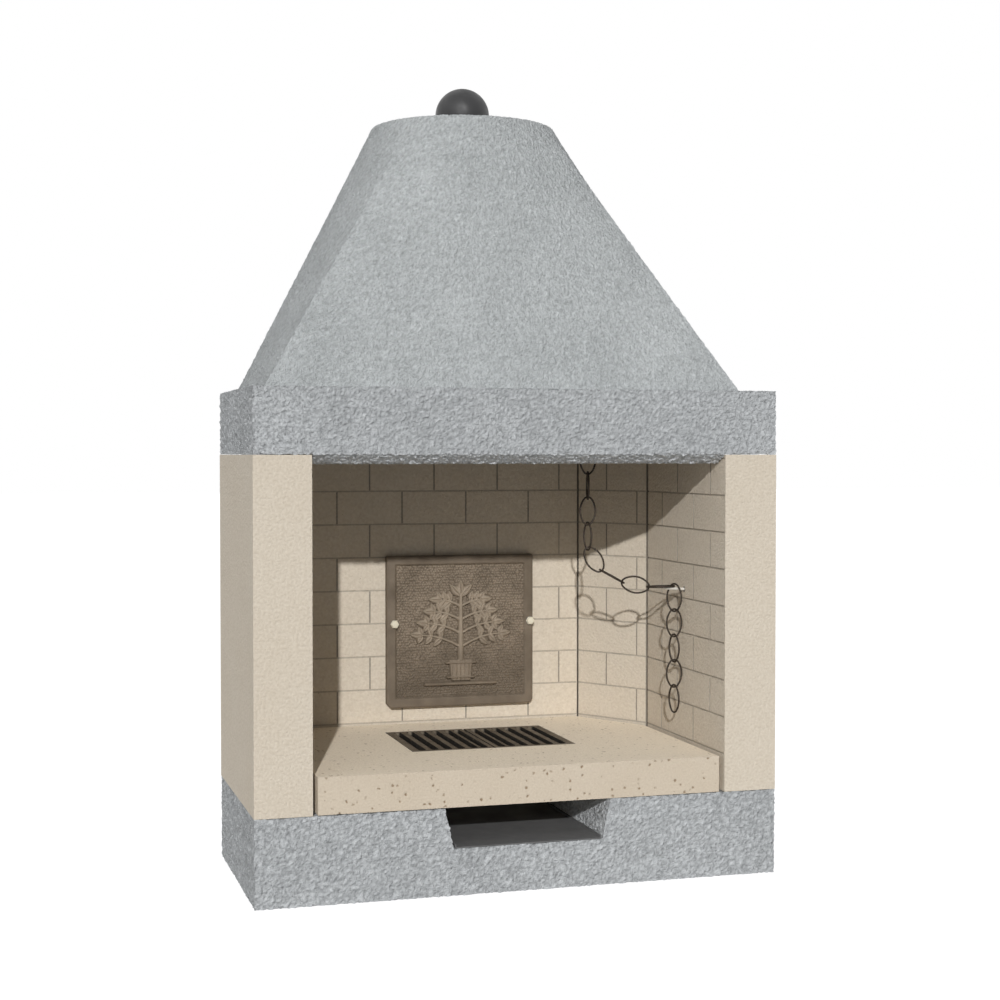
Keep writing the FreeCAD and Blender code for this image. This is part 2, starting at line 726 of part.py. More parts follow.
parts = {
    "plinth": plinth,
    "ash_tray": ash_tray,
    "left_wall": left_wall,
    "right_wall": right_wall,
    "left_corner": left_corner,
    "right_corner": right_corner,
    "back_wall": back_wall,
    "hearth_slab": hearth_slab,
    "grate_left": grate_left,
    "grate_right": grate_right,
    "fireback": fireback,
    "fireback_bolt_left": fireback_bolt_left,
    "fireback_bolt_right": fireback_bolt_right,
    "fireback_washers": fireback_washers,
    "lintel_frame": lintel_frame,
    "hood": hood,
    "damper_seat": seat_ring,
    "damper_plate": damper_plate,
    "damper_ball": damper_ball,
    "lift_rod": lift_rod,
    "guide_strap": guide_strap,
    "strap_screws": strap_screws,
    "crossbar": crossbar,
    "shaft_bracket_inner": shaft_bracket_inner,
    "shaft_bracket_outer": shaft_bracket_outer,
    "rocker_shaft": rocker_shaft,
    "lift_arm": lift_arm,
    "chain_arm": chain_arm,
    "chain_peg": chain_peg,
    "peg_sleeve": peg_sleeve,
    **chain_links,
}

os.makedirs("parts", exist_ok=True)
for name, shape in parts.items():
    shape.exportStep(os.path.join("parts", name + ".step"))
    solids = len(shape.Solids)
    print(f"{name}: {solids} solid(s), valid {shape.isValid()}, {shape.Volume / 1000:.1f} cm3")
for label, point in (
    ("hook", hook), ("eye", eye_centre), ("shaft", shaft_line), ("tail", tail_top), ("chain low", chain_low),
):
    print(label, [round(v, 3) for v in point])
print("run joints", [[round(v, 3) for v in p] for p in run_joints])
print("run normal", [round(v, 6) for v in run_normal], "pitch", link_pitch, "lift arm", round(lift_arm_radius, 3))
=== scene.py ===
import json
import math

import bmesh
import bpy
import numpy as np
from mathutils import Matrix, Vector


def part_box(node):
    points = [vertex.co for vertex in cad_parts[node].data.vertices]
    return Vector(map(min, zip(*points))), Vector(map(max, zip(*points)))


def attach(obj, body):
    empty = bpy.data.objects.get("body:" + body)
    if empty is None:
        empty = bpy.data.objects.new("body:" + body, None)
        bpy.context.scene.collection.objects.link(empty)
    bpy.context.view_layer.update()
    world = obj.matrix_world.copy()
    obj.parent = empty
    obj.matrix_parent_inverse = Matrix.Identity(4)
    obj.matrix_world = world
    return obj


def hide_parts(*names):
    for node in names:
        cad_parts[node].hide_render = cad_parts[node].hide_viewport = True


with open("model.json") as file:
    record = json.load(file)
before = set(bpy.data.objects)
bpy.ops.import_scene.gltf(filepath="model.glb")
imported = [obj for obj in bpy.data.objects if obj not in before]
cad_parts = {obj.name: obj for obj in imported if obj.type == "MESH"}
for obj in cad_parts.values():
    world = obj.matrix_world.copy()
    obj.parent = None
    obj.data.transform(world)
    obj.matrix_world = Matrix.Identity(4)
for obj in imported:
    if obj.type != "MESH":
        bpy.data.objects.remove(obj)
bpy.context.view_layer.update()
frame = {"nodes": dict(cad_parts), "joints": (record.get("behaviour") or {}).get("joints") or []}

# Studio. The floor is pale and shows only the fireplace's own shadow. Even light comes from all round,
# with two broad soft lamps, and a low sun from the front left throws the lintel's slanting shadow.
# The camera has the photograph's view.
SUN_TRAVEL = Vector((0.285, 1.0, -0.402))
SUN_STRENGTH = 2.24
SUN_WIDTH = math.radians(1.1)
SIDE_TRAVEL = Vector((1.0, -0.15, -0.3))
SIDE_STRENGTH = 0.245
SIDE_WIDTH = math.radians(60)
FILL_TRAVEL = Vector((0.6, 0.6, -0.52))
FILL_STRENGTH = 0.33
FILL_WIDTH = math.radians(50)
AIR_STRENGTH = 0.19
WHITE = (1, 1, 1, 1)
FLOOR_HALF = 40.0
FLOOR_LEVEL = -0.0005
FLOOR_GREY = (0.57, 0.57, 0.57, 1)
FLOOR_LIFT = 0.82
CAMERA_PLACE = Vector((-1.1731, -4.1659, 0.9969))
CAMERA_YAW = math.radians(16.503)
CAMERA_PITCH = math.radians(1.535)
CAMERA_LENS = 62.449
CAMERA_SENSOR = 36.0


def put(tree, kind, sockets=None, **settings):
    """Adds a node. sockets gives an input's name or number its value, or what feeds it."""
    node = tree.nodes.new(kind)
    for name, value in settings.items():
        setattr(node, name, value)
    for key, value in (sockets or {}).items():
        if isinstance(value, bpy.types.Node):
            value = value.outputs[0]
        if isinstance(value, bpy.types.NodeSocket):
            tree.links.new(value, node.inputs[key])
        else:
            node.inputs[key].default_value = value
    return node


def calc(tree, operation, *values):
    node = put(tree, "ShaderNodeMath", dict(enumerate(values)), operation=operation)
    return node.outputs[0]


def seen_directly(tree):
    """1 where the camera, a reflection or a clear piece looks straight at the surface."""
    path = put(tree, "ShaderNodeLightPath").outputs
    mirrored = calc(tree, "MAXIMUM", path["Is Glossy Ray"], path["Is Transmission Ray"])
    return calc(tree, "MAXIMUM", path["Is Camera Ray"], mirrored)


def link_object(name, data):
    piece = bpy.data.objects.new(name, data)
    bpy.context.scene.collection.objects.link(piece)
    return piece


def new_finish(name):
    """Empty material, and its node tree."""
    finish = bpy.data.materials.new(name)
    finish.use_nodes = True
    finish.node_tree.nodes.clear()
    return finish, finish.node_tree


scene = bpy.context.scene
scene.view_settings.view_transform = "Standard"

air = bpy.data.worlds.new("studio_air")
scene.world = air
air.use_nodes = True
air_tree = air.node_tree
air_tree.nodes.clear()
air_light = put(air_tree, "ShaderNodeBackground", {"Color": WHITE, "Strength": AIR_STRENGTH})
air_white = put(air_tree, "ShaderNodeBackground", {"Color": WHITE, "Strength": 1.0})
air_mix = put(air_tree, "ShaderNodeMixShader", {0: seen_directly(air_tree), 1: air_light, 2: air_white})
put(air_tree, "ShaderNodeOutputWorld", {"Surface": air_mix})

for lamp_name, travel, strength, width in (
    ("low_sun", SUN_TRAVEL, SUN_STRENGTH, SUN_WIDTH),
    ("soft_side", SIDE_TRAVEL, SIDE_STRENGTH, SIDE_WIDTH),
    ("soft_fill", FILL_TRAVEL, FILL_STRENGTH, FILL_WIDTH),
):
    lamp_data = bpy.data.lights.new(lamp_name, "SUN")
    lamp_data.energy = strength
    lamp_data.angle = width
    lamp = link_object(lamp_name, lamp_data)
    lamp.rotation_euler = travel.to_track_quat("-Z", "Y").to_euler()

floor_corners = [
    (side_x * FLOOR_HALF, side_y * FLOOR_HALF, FLOOR_LEVEL)
    for side_x, side_y in ((-1, -1), (1, -1), (1, 1), (-1, 1))
]
floor_mesh = bpy.data.meshes.new("floor")
floor_mesh.from_pydata(floor_corners, [], [(0, 1, 2, 3)])
floor = link_object("floor", floor_mesh)
floor_paint, floor_tree = new_finish("floor_paint")
floor_matt = put(floor_tree, "ShaderNodeBsdfDiffuse", {"Color": FLOOR_GREY})
floor_lit = calc(floor_tree, "MULTIPLY", seen_directly(floor_tree), FLOOR_LIFT)
floor_glow = put(floor_tree, "ShaderNodeEmission", {"Strength": floor_lit})
floor_sum = put(floor_tree, "ShaderNodeAddShader", {0: floor_matt, 1: floor_glow})
put(floor_tree, "ShaderNodeOutputMaterial", {"Surface": floor_sum})
floor_mesh.materials.append(floor_paint)

camera_data = bpy.data.cameras.new("photo_camera")
camera_data.sensor_width = CAMERA_SENSOR
camera_data.lens = CAMERA_LENS
camera = link_object("photo_camera", camera_data)
camera.location = CAMERA_PLACE
camera_forward = Vector((
    math.sin(CAMERA_YAW) * math.cos(CAMERA_PITCH),
    math.cos(CAMERA_YAW) * math.cos(CAMERA_PITCH),
    -math.sin(CAMERA_PITCH),
))
camera.rotation_euler = camera_forward.to_track_quat("-Z", "Y").to_euler()
scene.camera = camera

# Plinth. One block of grey lightweight concrete, cast in a rough mould, that stands on the floor by its
# own weight. Its faces are covered with small lumps; a tapered ash channel runs in from the front under
# the hearth slab.
plinth_low, plinth_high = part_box("plinth")
wall_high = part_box("left_wall")[1]
FRONT = plinth_low.y
REAR = plinth_high.y
HALF_WIDTH = plinth_high.x
FLANK_END = wall_high.y
REAR_HALF = 0.4464
PLINTH_TOP = plinth_high.z
CHANNEL_FLOOR = 0.108
CHANNEL_FLOOR_SIDES = (-0.169, 0.184)
CHANNEL_TOP_SIDES = (-0.1885, 0.2035)
CHANNEL_END = 0.185
CHANNEL_CELL = 0.005
CHANNEL_SIDE_ROUGH = 1.3
CHANNEL_END_ROUGH = 0.5
LUMP_CELL = 0.0034
REAR_CELL = 0.0055
WELD_REACH = 2e-5
SKIN_SMOOTH = 60
SKIN_REST = 0.75
PIT_FLAT = 0.3
PIT_SMALLEST = 0.5
PIT_UNEVEN = 3.0
PIT_WOBBLE = 0.6
PIT_STRAY = 1.6
PIT_FADE = 1.1
NOISE_MIDDLE = (0.25, 0.75)
WORM_POWER = 0.6
WEAR_TURN = (0.995, 0.8)
TOP_LIGHT_TILT = (0.6, 0.95)
STONE_HOLLOW_SHADE = (0.55, 0.1)
STONE_CREST_LIGHT = (0.6, 0.95)
PATCH_SHADE = 0.45
STONE_WEAR = {"Reach": 0.004, "Break Size": 0.015}
STONE_SHEEN = 0.3
STONE_SPREAD = 0.06
LEVEL_PIT_SHARE = 0.8


def tone(red, green, blue):
    """Colour for a shader from the 8-bit values that a picture shows."""
    values = []
    for value in (red, green, blue):
        value = value / 255
        values.append(value / 12.92 if value <= 0.04045 else ((value + 0.055) / 1.055) ** 2.4)
    return (*values, 1.0)


def cells(length, size):
    return max(1, round(length / size))


def line(start, end, count):
    start, end = Vector(start), Vector(end)
    return [start.lerp(end, step / count) for step in range(count + 1)]


def plan_line(start, end, count):
    return [(point.x, point.y) for point in line((*start, 0), (*end, 0), count)]


def at(points, level):
    return [Vector((x, y, level)) for x, y in points]


def span(bm, lower, upper, rows, rough=1.0, closed=False):
    """Field of quads between two rows of points; rough says how much the cast skin stands out there."""
    layer = bm.verts.layers.float["rough"]
    grid = []
    for row in range(rows + 1):
        share = row / rows
        verts = [bm.verts.new(low.lerp(high, share)) for low, high in zip(lower, upper)]
        for vert in verts:
            vert[layer] = rough
        grid.append(verts)
    count = len(lower)
    for low, high in zip(grid, grid[1:]):
        for column in range(count if closed else count - 1):
            following = (column + 1) % count
            bm.faces.new((low[column], low[following], high[following], high[column]))


def new_block():
    bm = bmesh.new()
    bm.verts.layers.float.new("rough")
    return bm


def weld(bm):
    bmesh.ops.remove_doubles(bm, verts=bm.verts, dist=WELD_REACH)


def close_holes(bm):
    bmesh.ops.holes_fill(bm, edges=[edge for edge in bm.edges if edge.is_boundary])


def smooth_faces(mesh, angle):
    """Shades a mesh smooth, apart from edges sharper than the angle in degrees."""
    mesh.shade_smooth()
    mesh.set_sharp_from_angle(angle=math.radians(angle))


def finished_mesh(bm, name, smooth_angle=35):
    """Turns a closed bmesh into a mesh with its faces outwards and its hard edges kept."""
    bmesh.ops.recalc_face_normals(bm, faces=bm.faces)
    mesh = bpy.data.meshes.new(name)
    bm.to_mesh(mesh)
    bm.free()
    smooth_faces(mesh, smooth_angle)
    return mesh


def geometry_tree(name, *sizes):
    """Empty node tree with a geometry in and out, and named inputs for sizes and the finish."""
    tree = bpy.data.node_groups.new(name, "GeometryNodeTree")
    tree.interface.new_socket("Geometry", in_out="INPUT", socket_type="NodeSocketGeometry")
    for label in sizes:
        tree.interface.new_socket(label, in_out="INPUT", socket_type="NodeSocketFloat")
    tree.interface.new_socket("Finish", in_out="INPUT", socket_type="NodeSocketMaterial")
    tree.interface.new_socket("Geometry", in_out="OUTPUT", socket_type="NodeSocketGeometry")
    return tree, put(tree, "NodeGroupInput").outputs


def close_tree(tree, geometry, finish):
    """Ends a tree with real geometry that wears the finish."""
    real = put(tree, "GeometryNodeRealizeInstances", {"Geometry": geometry})
    dressed = put(tree, "GeometryNodeSetMaterial", {"Geometry": real, "Material": finish})
    put(tree, "NodeGroupOutput", {0: dressed})


def push_out(tree, geometry, height):
    """Moves a surface along its own normals."""
    normal = put(tree, "GeometryNodeInputNormal")
    way = put(tree, "ShaderNodeVectorMath", {0: normal, "Scale": height}, operation="SCALE")
    return put(tree, "GeometryNodeSetPosition", {"Geometry": geometry, "Offset": way})


def keep_result(piece, step):
    """Keeps what a modifier gives as the piece's own plain mesh, and removes the modifier."""
    bpy.context.view_layer.update()
    depsgraph = bpy.context.evaluated_depsgraph_get()
    mesh = bpy.data.meshes.new_from_object(
        piece.evaluated_get(depsgraph), preserve_all_data_layers=True, depsgraph=depsgraph
    )
    piece.modifiers.remove(step)
    draft = piece.data
    piece.data = mesh
    bpy.data.meshes.remove(draft)
    mesh.name = piece.name
    return mesh


def make_real(piece, tree, values, smooth_angle):
    """Runs a node tree on a piece and keeps what it gives."""
    step = piece.modifiers.new("making", "NODES")
    step.node_group = tree
    for item in tree.interface.items_tree:
        if item.in_out == "INPUT" and item.name in values:
            step[item.identifier] = values[item.name]
    smooth_faces(keep_result(piece, step), smooth_angle)


def shader_group(name, output, **inputs):
    """Empty shader group with one value out, and named inputs with their usual values."""
    group = bpy.data.node_groups.new(name, "ShaderNodeTree")
    for label, value in inputs.items():
        socket = group.interface.new_socket(
            label.replace("_", " "), in_out="INPUT", socket_type="NodeSocketFloat"
        )
        socket.default_value = value
    group.interface.new_socket(output, in_out="OUTPUT", socket_type="NodeSocketFloat")
    return group, put(group, "NodeGroupInput").outputs


def map_range(tree, value, low, high, to_low=0.0, to_high=1.0, smooth=False):
    kind = "SMOOTHSTEP" if smooth else "LINEAR"
    sockets = {0: value, 1: low, 2: high, 3: to_low, 4: to_high}
    return put(tree, "ShaderNodeMapRange", sockets, interpolation_type=kind).outputs[0]


def object_place(tree):
    return put(tree, "ShaderNodeTexCoord").outputs["Object"]


def pit_mask(tree, splitter, place, sizes, fade_end):
    """Scattered round hollows of uneven size: 1 in the middle of a pit and 0 outside it."""
    scale = calc(tree, "DIVIDE", 1.0, sizes["Spacing"])
    spots = put(tree, "ShaderNodeTexVoronoi", {**place, "Scale": scale})
    chance = put(tree, splitter, {0: spots.outputs["Color"]}).outputs
    size = calc(tree, "POWER", chance[1], PIT_UNEVEN)
    reach = calc(tree, "MULTIPLY", sizes["Radius"], map_range(tree, size, 0.0, 1.0, PIT_SMALLEST, 1.0))
    distance = calc(tree, "MULTIPLY", spots.outputs["Distance"], sizes["Spacing"])
    share_out = calc(tree, "DIVIDE", distance, reach)
    dip = map_range(tree, share_out, PIT_FLAT, fade_end, 1.0, 0.0, smooth=True)
    kept = calc(tree, "LESS_THAN", chance[0], sizes["Share"])
    return calc(tree, "MULTIPLY", dip, kept)


# Mottle: soft patches or fine grain of a given size, as a mask from 0 to 1
mottle_group, mottle_in = shader_group("mottle", "Mask", Size=0.05, Detail=3.0, Low=0.35, High=0.65)
mottle_scale = calc(mottle_group, "DIVIDE", 1.0, mottle_in["Size"])
mottle_noise = put(
    mottle_group,
    "ShaderNodeTexNoise",
    {"Vector": object_place(mottle_group), "Scale": mottle_scale, "Detail": mottle_in["Detail"]},
)
mottle_mask = map_range(mottle_group, mottle_noise.outputs[0], mottle_in["Low"], mottle_in["High"])
put(mottle_group, "NodeGroupOutput", {"Mask": mottle_mask})

# Pits: scattered small holes with uneven edges, as a mask from 0 to 1
pit_group, pit_in = shader_group("pits", "Mask", Spacing=0.03, Radius=0.004, Share=0.5)
pit_scale = calc(pit_group, "DIVIDE", PIT_WOBBLE, pit_in["Radius"])
pit_wobble = put(
    pit_group,
    "ShaderNodeTexNoise",
    {"Vector": object_place(pit_group), "Scale": pit_scale, "Detail": 2.0},
)
pit_shift = put(
    pit_group,
    "ShaderNodeVectorMath",
    {0: pit_wobble.outputs["Color"], 1: (0.5, 0.5, 0.5)},
    operation="SUBTRACT",
)
pit_stray = calc(pit_group, "MULTIPLY", pit_in["Radius"], PIT_STRAY)
pit_scaled = put(pit_group, "ShaderNodeVectorMath", {0: pit_shift, "Scale": pit_stray}, operation="SCALE")
pit_place = put(
    pit_group, "ShaderNodeVectorMath", {0: object_place(pit_group), 1: pit_scaled}, operation="ADD"
)
pit_found = pit_mask(pit_group, "ShaderNodeSeparateColor", {"Vector": pit_place}, pit_in, PIT_FADE)
put(pit_group, "NodeGroupOutput", {"Mask": pit_found})

# Edge wear: where a rounded-off normal leaves the face's own, broken up by a fine mottle
wear_group, wear_in = shader_group("edge_wear", "Mask", Reach=0.003, Break_Size=0.012)
wear_round = put(wear_group, "ShaderNodeBevel", {"Radius": wear_in["Reach"]}, samples=6)
wear_flat = put(wear_group, "ShaderNodeNewGeometry").outputs["Normal"]
wear_dot = put(wear_group, "ShaderNodeVectorMath", {0: wear_round, 1: wear_flat}, operation="DOT_PRODUCT")
wear_edge = map_range(wear_group, wear_dot.outputs["Value"], *WEAR_TURN)
wear_break = put(wear_group, "ShaderNodeGroup", {"Size": wear_in["Break Size"]}, node_tree=mottle_group)
wear_mask = calc(wear_group, "MULTIPLY", wear_edge, wear_break.outputs[0])
put(wear_group, "NodeGroupOutput", {"Mask": wear_mask})


def use_group(tree, group, values):
    return put(tree, "ShaderNodeGroup", values, node_tree=group).outputs[0]


def mottle(tree, size, detail):
    return use_group(tree, mottle_group, {"Size": size, "Detail": detail, "Low": 0.3, "High": 0.7})


def marked(tree, name):
    """Value that the mesh itself carries under a name."""
    return put(tree, "ShaderNodeAttribute", attribute_name=name).outputs["Fac"]


def blend(tree, share, first, second):
    node = put(tree, "ShaderNodeMix", {0: share, 6: first, 7: second}, data_type="RGBA")
    return node.outputs[2]


def close_finish(tree, colour, matt, height, **more):
    """Ends a material with its colour, its roughness and a bump from the height."""
    bump = put(tree, "ShaderNodeBump", {"Height": height, "Distance": 1.0, "Strength": 1.0})
    sockets = {"Base Color": colour, "Roughness": matt, "Normal": bump}
    sockets.update({name.replace("_", " "): value for name, value in more.items()})
    put(tree, "ShaderNodeOutputMaterial", {"Surface": put(tree, "ShaderNodeBsdfPrincipled", sockets)})


def mineral(
    name, base, dark, light, patch, grain, grain_shade, grain_depth, roughness,
    relief_shading=0.0, pits=None, wear=0.0, joint=None, upper=None, chalky=0.0,
):
    """Cast stone or concrete: broad patches, fine grain, and where asked pits and worn edges.
    Where asked it also paints light and shade: painted shade in the relief's hollows and painted light on
    its crests, painted light on faces turned up, and painted shade where the mesh marks joints.
    """
    finish, tree = new_finish(name)
    fine = mottle(tree, grain, detail=4.0)
    broad = mottle(tree, patch, detail=3.0)
    colour = blend(tree, calc(tree, "MULTIPLY", broad, PATCH_SHADE), base, light)
    # Painted light: faces turned up are blended towards the lighter upper tone.
    if upper:
        facing = put(tree, "ShaderNodeNewGeometry").outputs["Normal"]
        upward = put(tree, "ShaderNodeSeparateXYZ", {0: facing}).outputs[2]
        level = map_range(tree, upward, *TOP_LIGHT_TILT)
        colour = blend(tree, level, colour, upper)
    colour = blend(tree, calc(tree, "MULTIPLY", fine, grain_shade), colour, dark)
    height = calc(tree, "MULTIPLY", fine, grain_depth)
    # Painted shade in the relief's low parts and painted light on its crests, from the relief the mesh
    # carries.
    if relief_shading:
        relief = marked(tree, "relief")
        colour = blend(tree, map_range(tree, relief, *STONE_HOLLOW_SHADE, 0.0, relief_shading), colour, dark)
        colour = blend(tree, map_range(tree, relief, *STONE_CREST_LIGHT, 0.0, relief_shading), colour, light)
    if pits:
        spacing, radius, share, depth, pit_tone = pits
        mask = use_group(tree, pit_group, {"Spacing": spacing, "Radius": radius, "Share": share})
        if upper:
            mask = calc(tree, "MULTIPLY", mask, map_range(tree, level, 0.0, 1.0, 1.0, LEVEL_PIT_SHARE))
        colour = blend(tree, mask, colour, pit_tone)
        height = calc(tree, "SUBTRACT", height, calc(tree, "MULTIPLY", mask, depth))
    if wear:
        worn = use_group(tree, wear_group, STONE_WEAR)
        colour = blend(tree, calc(tree, "MULTIPLY", worn, wear), colour, light)
    if joint:
        colour = blend(tree, marked(tree, "joint"), colour, joint)
    matt = map_range(tree, fine, 0.0, 1.0, roughness - STONE_SPREAD, min(1.0, roughness + STONE_SPREAD))
    close_finish(tree, colour, matt, height, Diffuse_Roughness=chalky, Specular_IOR_Level=STONE_SHEEN)
    return finish


# Rough-cast skin: lumps with worm-like hollows between them, and a finer grain on top
skin_tree, skin_in = geometry_tree("rough_cast_skin", "Lump Size", "Relief", "Grain Size", "Grain Share")
skin_lumps = put(
    skin_tree,
    "ShaderNodeTexNoise",
    {"Scale": calc(skin_tree, "DIVIDE", 1.0, skin_in["Lump Size"]), "Detail": 1.0, "Distortion": 0.35},
)
skin_fold = calc(
    skin_tree, "ABSOLUTE", map_range(skin_tree, skin_lumps.outputs[0], *NOISE_MIDDLE, -1.0, 1.0)
)
skin_worm = calc(skin_tree, "POWER", calc(skin_tree, "MINIMUM", skin_fold, 1.0), WORM_POWER)
skin_grain = put(
    skin_tree,
    "ShaderNodeTexNoise",
    {"Scale": calc(skin_tree, "DIVIDE", 1.0, skin_in["Grain Size"]), "Detail": 1.5},
)
skin_part = map_range(skin_tree, skin_grain.outputs[0], *NOISE_MIDDLE)
skin_height = calc(
    skin_tree,
    "ADD",
    calc(skin_tree, "MULTIPLY", skin_worm, calc(skin_tree, "SUBTRACT", 1.0, skin_in["Grain Share"])),
    calc(skin_tree, "MULTIPLY", skin_part, skin_in["Grain Share"]),
)
skin_rough = put(
    skin_tree, "GeometryNodeInputNamedAttribute", {"Name": "rough"}, data_type="FLOAT"
).outputs[0]
skin_lift = calc(
    skin_tree, "MULTIPLY", calc(skin_tree, "SUBTRACT", skin_height, SKIN_REST), skin_in["Relief"]
)
skin_push = calc(skin_tree, "MULTIPLY", skin_lift, skin_rough)
# Painted light: faces marked rougher than usual, the lip's sloping underside and the channel's sides, get a
# higher relief value, which the finish paints lighter.
skin_painted_lift = calc(skin_tree, "MAXIMUM", calc(skin_tree, "SUBTRACT", skin_rough, 1.0), 0.0)
skin_kept = put(
    skin_tree,
    "GeometryNodeStoreNamedAttribute",
    {
        "Geometry": skin_in["Geometry"],
        "Name": "relief",
        "Value": calc(skin_tree, "ADD", skin_height, skin_painted_lift),
    },
    data_type="FLOAT",
    domain="POINT",
)
close_tree(skin_tree, push_out(skin_tree, skin_kept, skin_push), skin_in["Finish"])


def rough_cast(bm, name, finish, lump, relief, grain, grain_share):
    """Block from a closed bmesh, with the lumpy skin that its mould leaves."""
    piece = link_object(name, finished_mesh(bm, name))
    values = {
        "Lump Size": lump, "Relief": relief, "Grain Size": grain, "Grain Share": grain_share,
        "Finish": finish,
    }
    make_real(piece, skin_tree, values, SKIN_SMOOTH)
    return piece


block_cast = mineral(
    "rough_cast_block", tone(196, 199, 201), tone(132, 134, 136), tone(226, 229, 231), patch=0.18,
    grain=0.0068, grain_shade=0.3, grain_depth=0.004, roughness=0.8, relief_shading=0.75,
)

bm = new_block()
low_rows = cells(CHANNEL_FLOOR, LUMP_CELL)
high_rows = cells(PLINTH_TOP - CHANNEL_FLOOR, LUMP_CELL)
floor_left, floor_right = CHANNEL_FLOOR_SIDES
top_left, top_right = CHANNEL_TOP_SIDES
for low_from, low_to, top_from, top_to in (
    (-HALF_WIDTH, floor_left, -HALF_WIDTH, top_left),
    (floor_right, HALF_WIDTH, top_right, HALF_WIDTH),
):
    columns = cells(low_to - low_from, LUMP_CELL)
    low_line = plan_line((low_from, FRONT), (low_to, FRONT), columns)
    top_line = plan_line((top_from, FRONT), (top_to, FRONT), columns)
    span(bm, at(low_line, 0), at(low_line, CHANNEL_FLOOR), low_rows)
    span(bm, at(low_line, CHANNEL_FLOOR), at(top_line, PLINTH_TOP), high_rows)
middle_columns = cells(floor_right - floor_left, LUMP_CELL)
channel_near = plan_line((floor_left, FRONT), (floor_right, FRONT), middle_columns)
span(bm, at(channel_near, 0), at(channel_near, CHANNEL_FLOOR), low_rows)
outer_plan = [
    (HALF_WIDTH, FRONT), (HALF_WIDTH, FLANK_END), (REAR_HALF, REAR),
    (-REAR_HALF, REAR), (-HALF_WIDTH, FLANK_END), (-HALF_WIDTH, FRONT),
]
for start, end in zip(outer_plan, outer_plan[1:]):
    size = REAR_CELL if min(start[1], end[1]) >= FLANK_END else LUMP_CELL
    side_line = plan_line(start, end, cells(math.dist(start, end), size))
    span(bm, at(side_line, 0), at(side_line, CHANNEL_FLOOR), low_rows)
    span(bm, at(side_line, CHANNEL_FLOOR), at(side_line, PLINTH_TOP), high_rows)
channel_rows = cells(CHANNEL_END - FRONT, CHANNEL_CELL)
for low_x, top_x in zip(CHANNEL_FLOOR_SIDES, CHANNEL_TOP_SIDES):
    low_line = plan_line((low_x, FRONT), (low_x, CHANNEL_END), channel_rows)
    top_line = plan_line((top_x, FRONT), (top_x, CHANNEL_END), channel_rows)
    span(bm, at(low_line, CHANNEL_FLOOR), at(top_line, PLINTH_TOP), high_rows, CHANNEL_SIDE_ROUGH)
channel_far = plan_line((floor_left, CHANNEL_END), (floor_right, CHANNEL_END), middle_columns)
channel_far_top = plan_line((top_left, CHANNEL_END), (top_right, CHANNEL_END), middle_columns)
span(bm, at(channel_near, CHANNEL_FLOOR), at(channel_far, CHANNEL_FLOOR), channel_rows, rough=0.0)
span(bm, at(channel_far, CHANNEL_FLOOR), at(channel_far_top, PLINTH_TOP), high_rows, CHANNEL_END_ROUGH)
weld(bm)
close_holes(bm)
plinth = rough_cast(
    bm, "plinth_block", block_cast, lump=0.0135, relief=0.0055, grain=0.006, grain_share=0.3
)
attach(plinth, "root")
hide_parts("plinth")

# Ash tray. A folded tray of thin black sheet that lies loose on the channel floor and is pulled out to
# the front. Its low lips keep the ash in; the sheet is dull, with pale ash dust rubbed into it.
SHEET_EASE = 0.0006
EASED_SMOOTH = 40
EASED_ANGLE = math.radians(32)
FLAT_ANGLE = math.radians(0.4)
CAD_WELD = 1e-6
IRON_HOLLOW_SHADE = (0.6, 0.05)
IRON_CREST_LIGHT = (0.6, 1.0)
SIDE_TILT = (0.3, 0.75)
CLOUD_SHADE = 0.6
SPECK_SHADE = 0.2
METAL_WEAR = {"Reach": 0.0015, "Break Size": 0.006}
ROUGH_SPREAD = 0.12
SLOT_SHADE_FADE = 0.004


def cad_copy(name, node):
    """Merged copy of a CAD node's mesh, with its flat faces whole again."""
    bm = bmesh.new()
    bm.from_mesh(frame["nodes"][node].data)
    bmesh.ops.remove_doubles(bm, verts=bm.verts, dist=CAD_WELD)
    bmesh.ops.dissolve_limit(bm, angle_limit=FLAT_ANGLE, verts=bm.verts, edges=bm.edges)
    mesh = bpy.data.meshes.new(name)
    bm.to_mesh(mesh)
    bm.free()
    return link_object(name, mesh)


def ease_edges(piece, width, segments=2, smooth=True):
    """Rounds a piece's hard edges a little, as casting, folding or filing leaves them."""
    step = piece.modifiers.new("eased_edges", "BEVEL")
    step.width = width
    step.segments = segments
    step.limit_method = "ANGLE"
    step.angle_limit = EASED_ANGLE
    step.miter_outer = "MITER_ARC"
    mesh = keep_result(piece, step)
    if smooth:
        smooth_faces(mesh, EASED_SMOOTH)
    else:
        mesh.shade_flat()


def dress(piece, finish):
    piece.data.materials.clear()
    piece.data.materials.append(finish)


def cad_piece(name, node, ease, finish, segments=2):
    """Piece in a CAD node's own shape, with eased edges."""
    piece = cad_copy(name, node)
    ease_edges(piece, ease, segments)
    dress(piece, finish)
    return piece


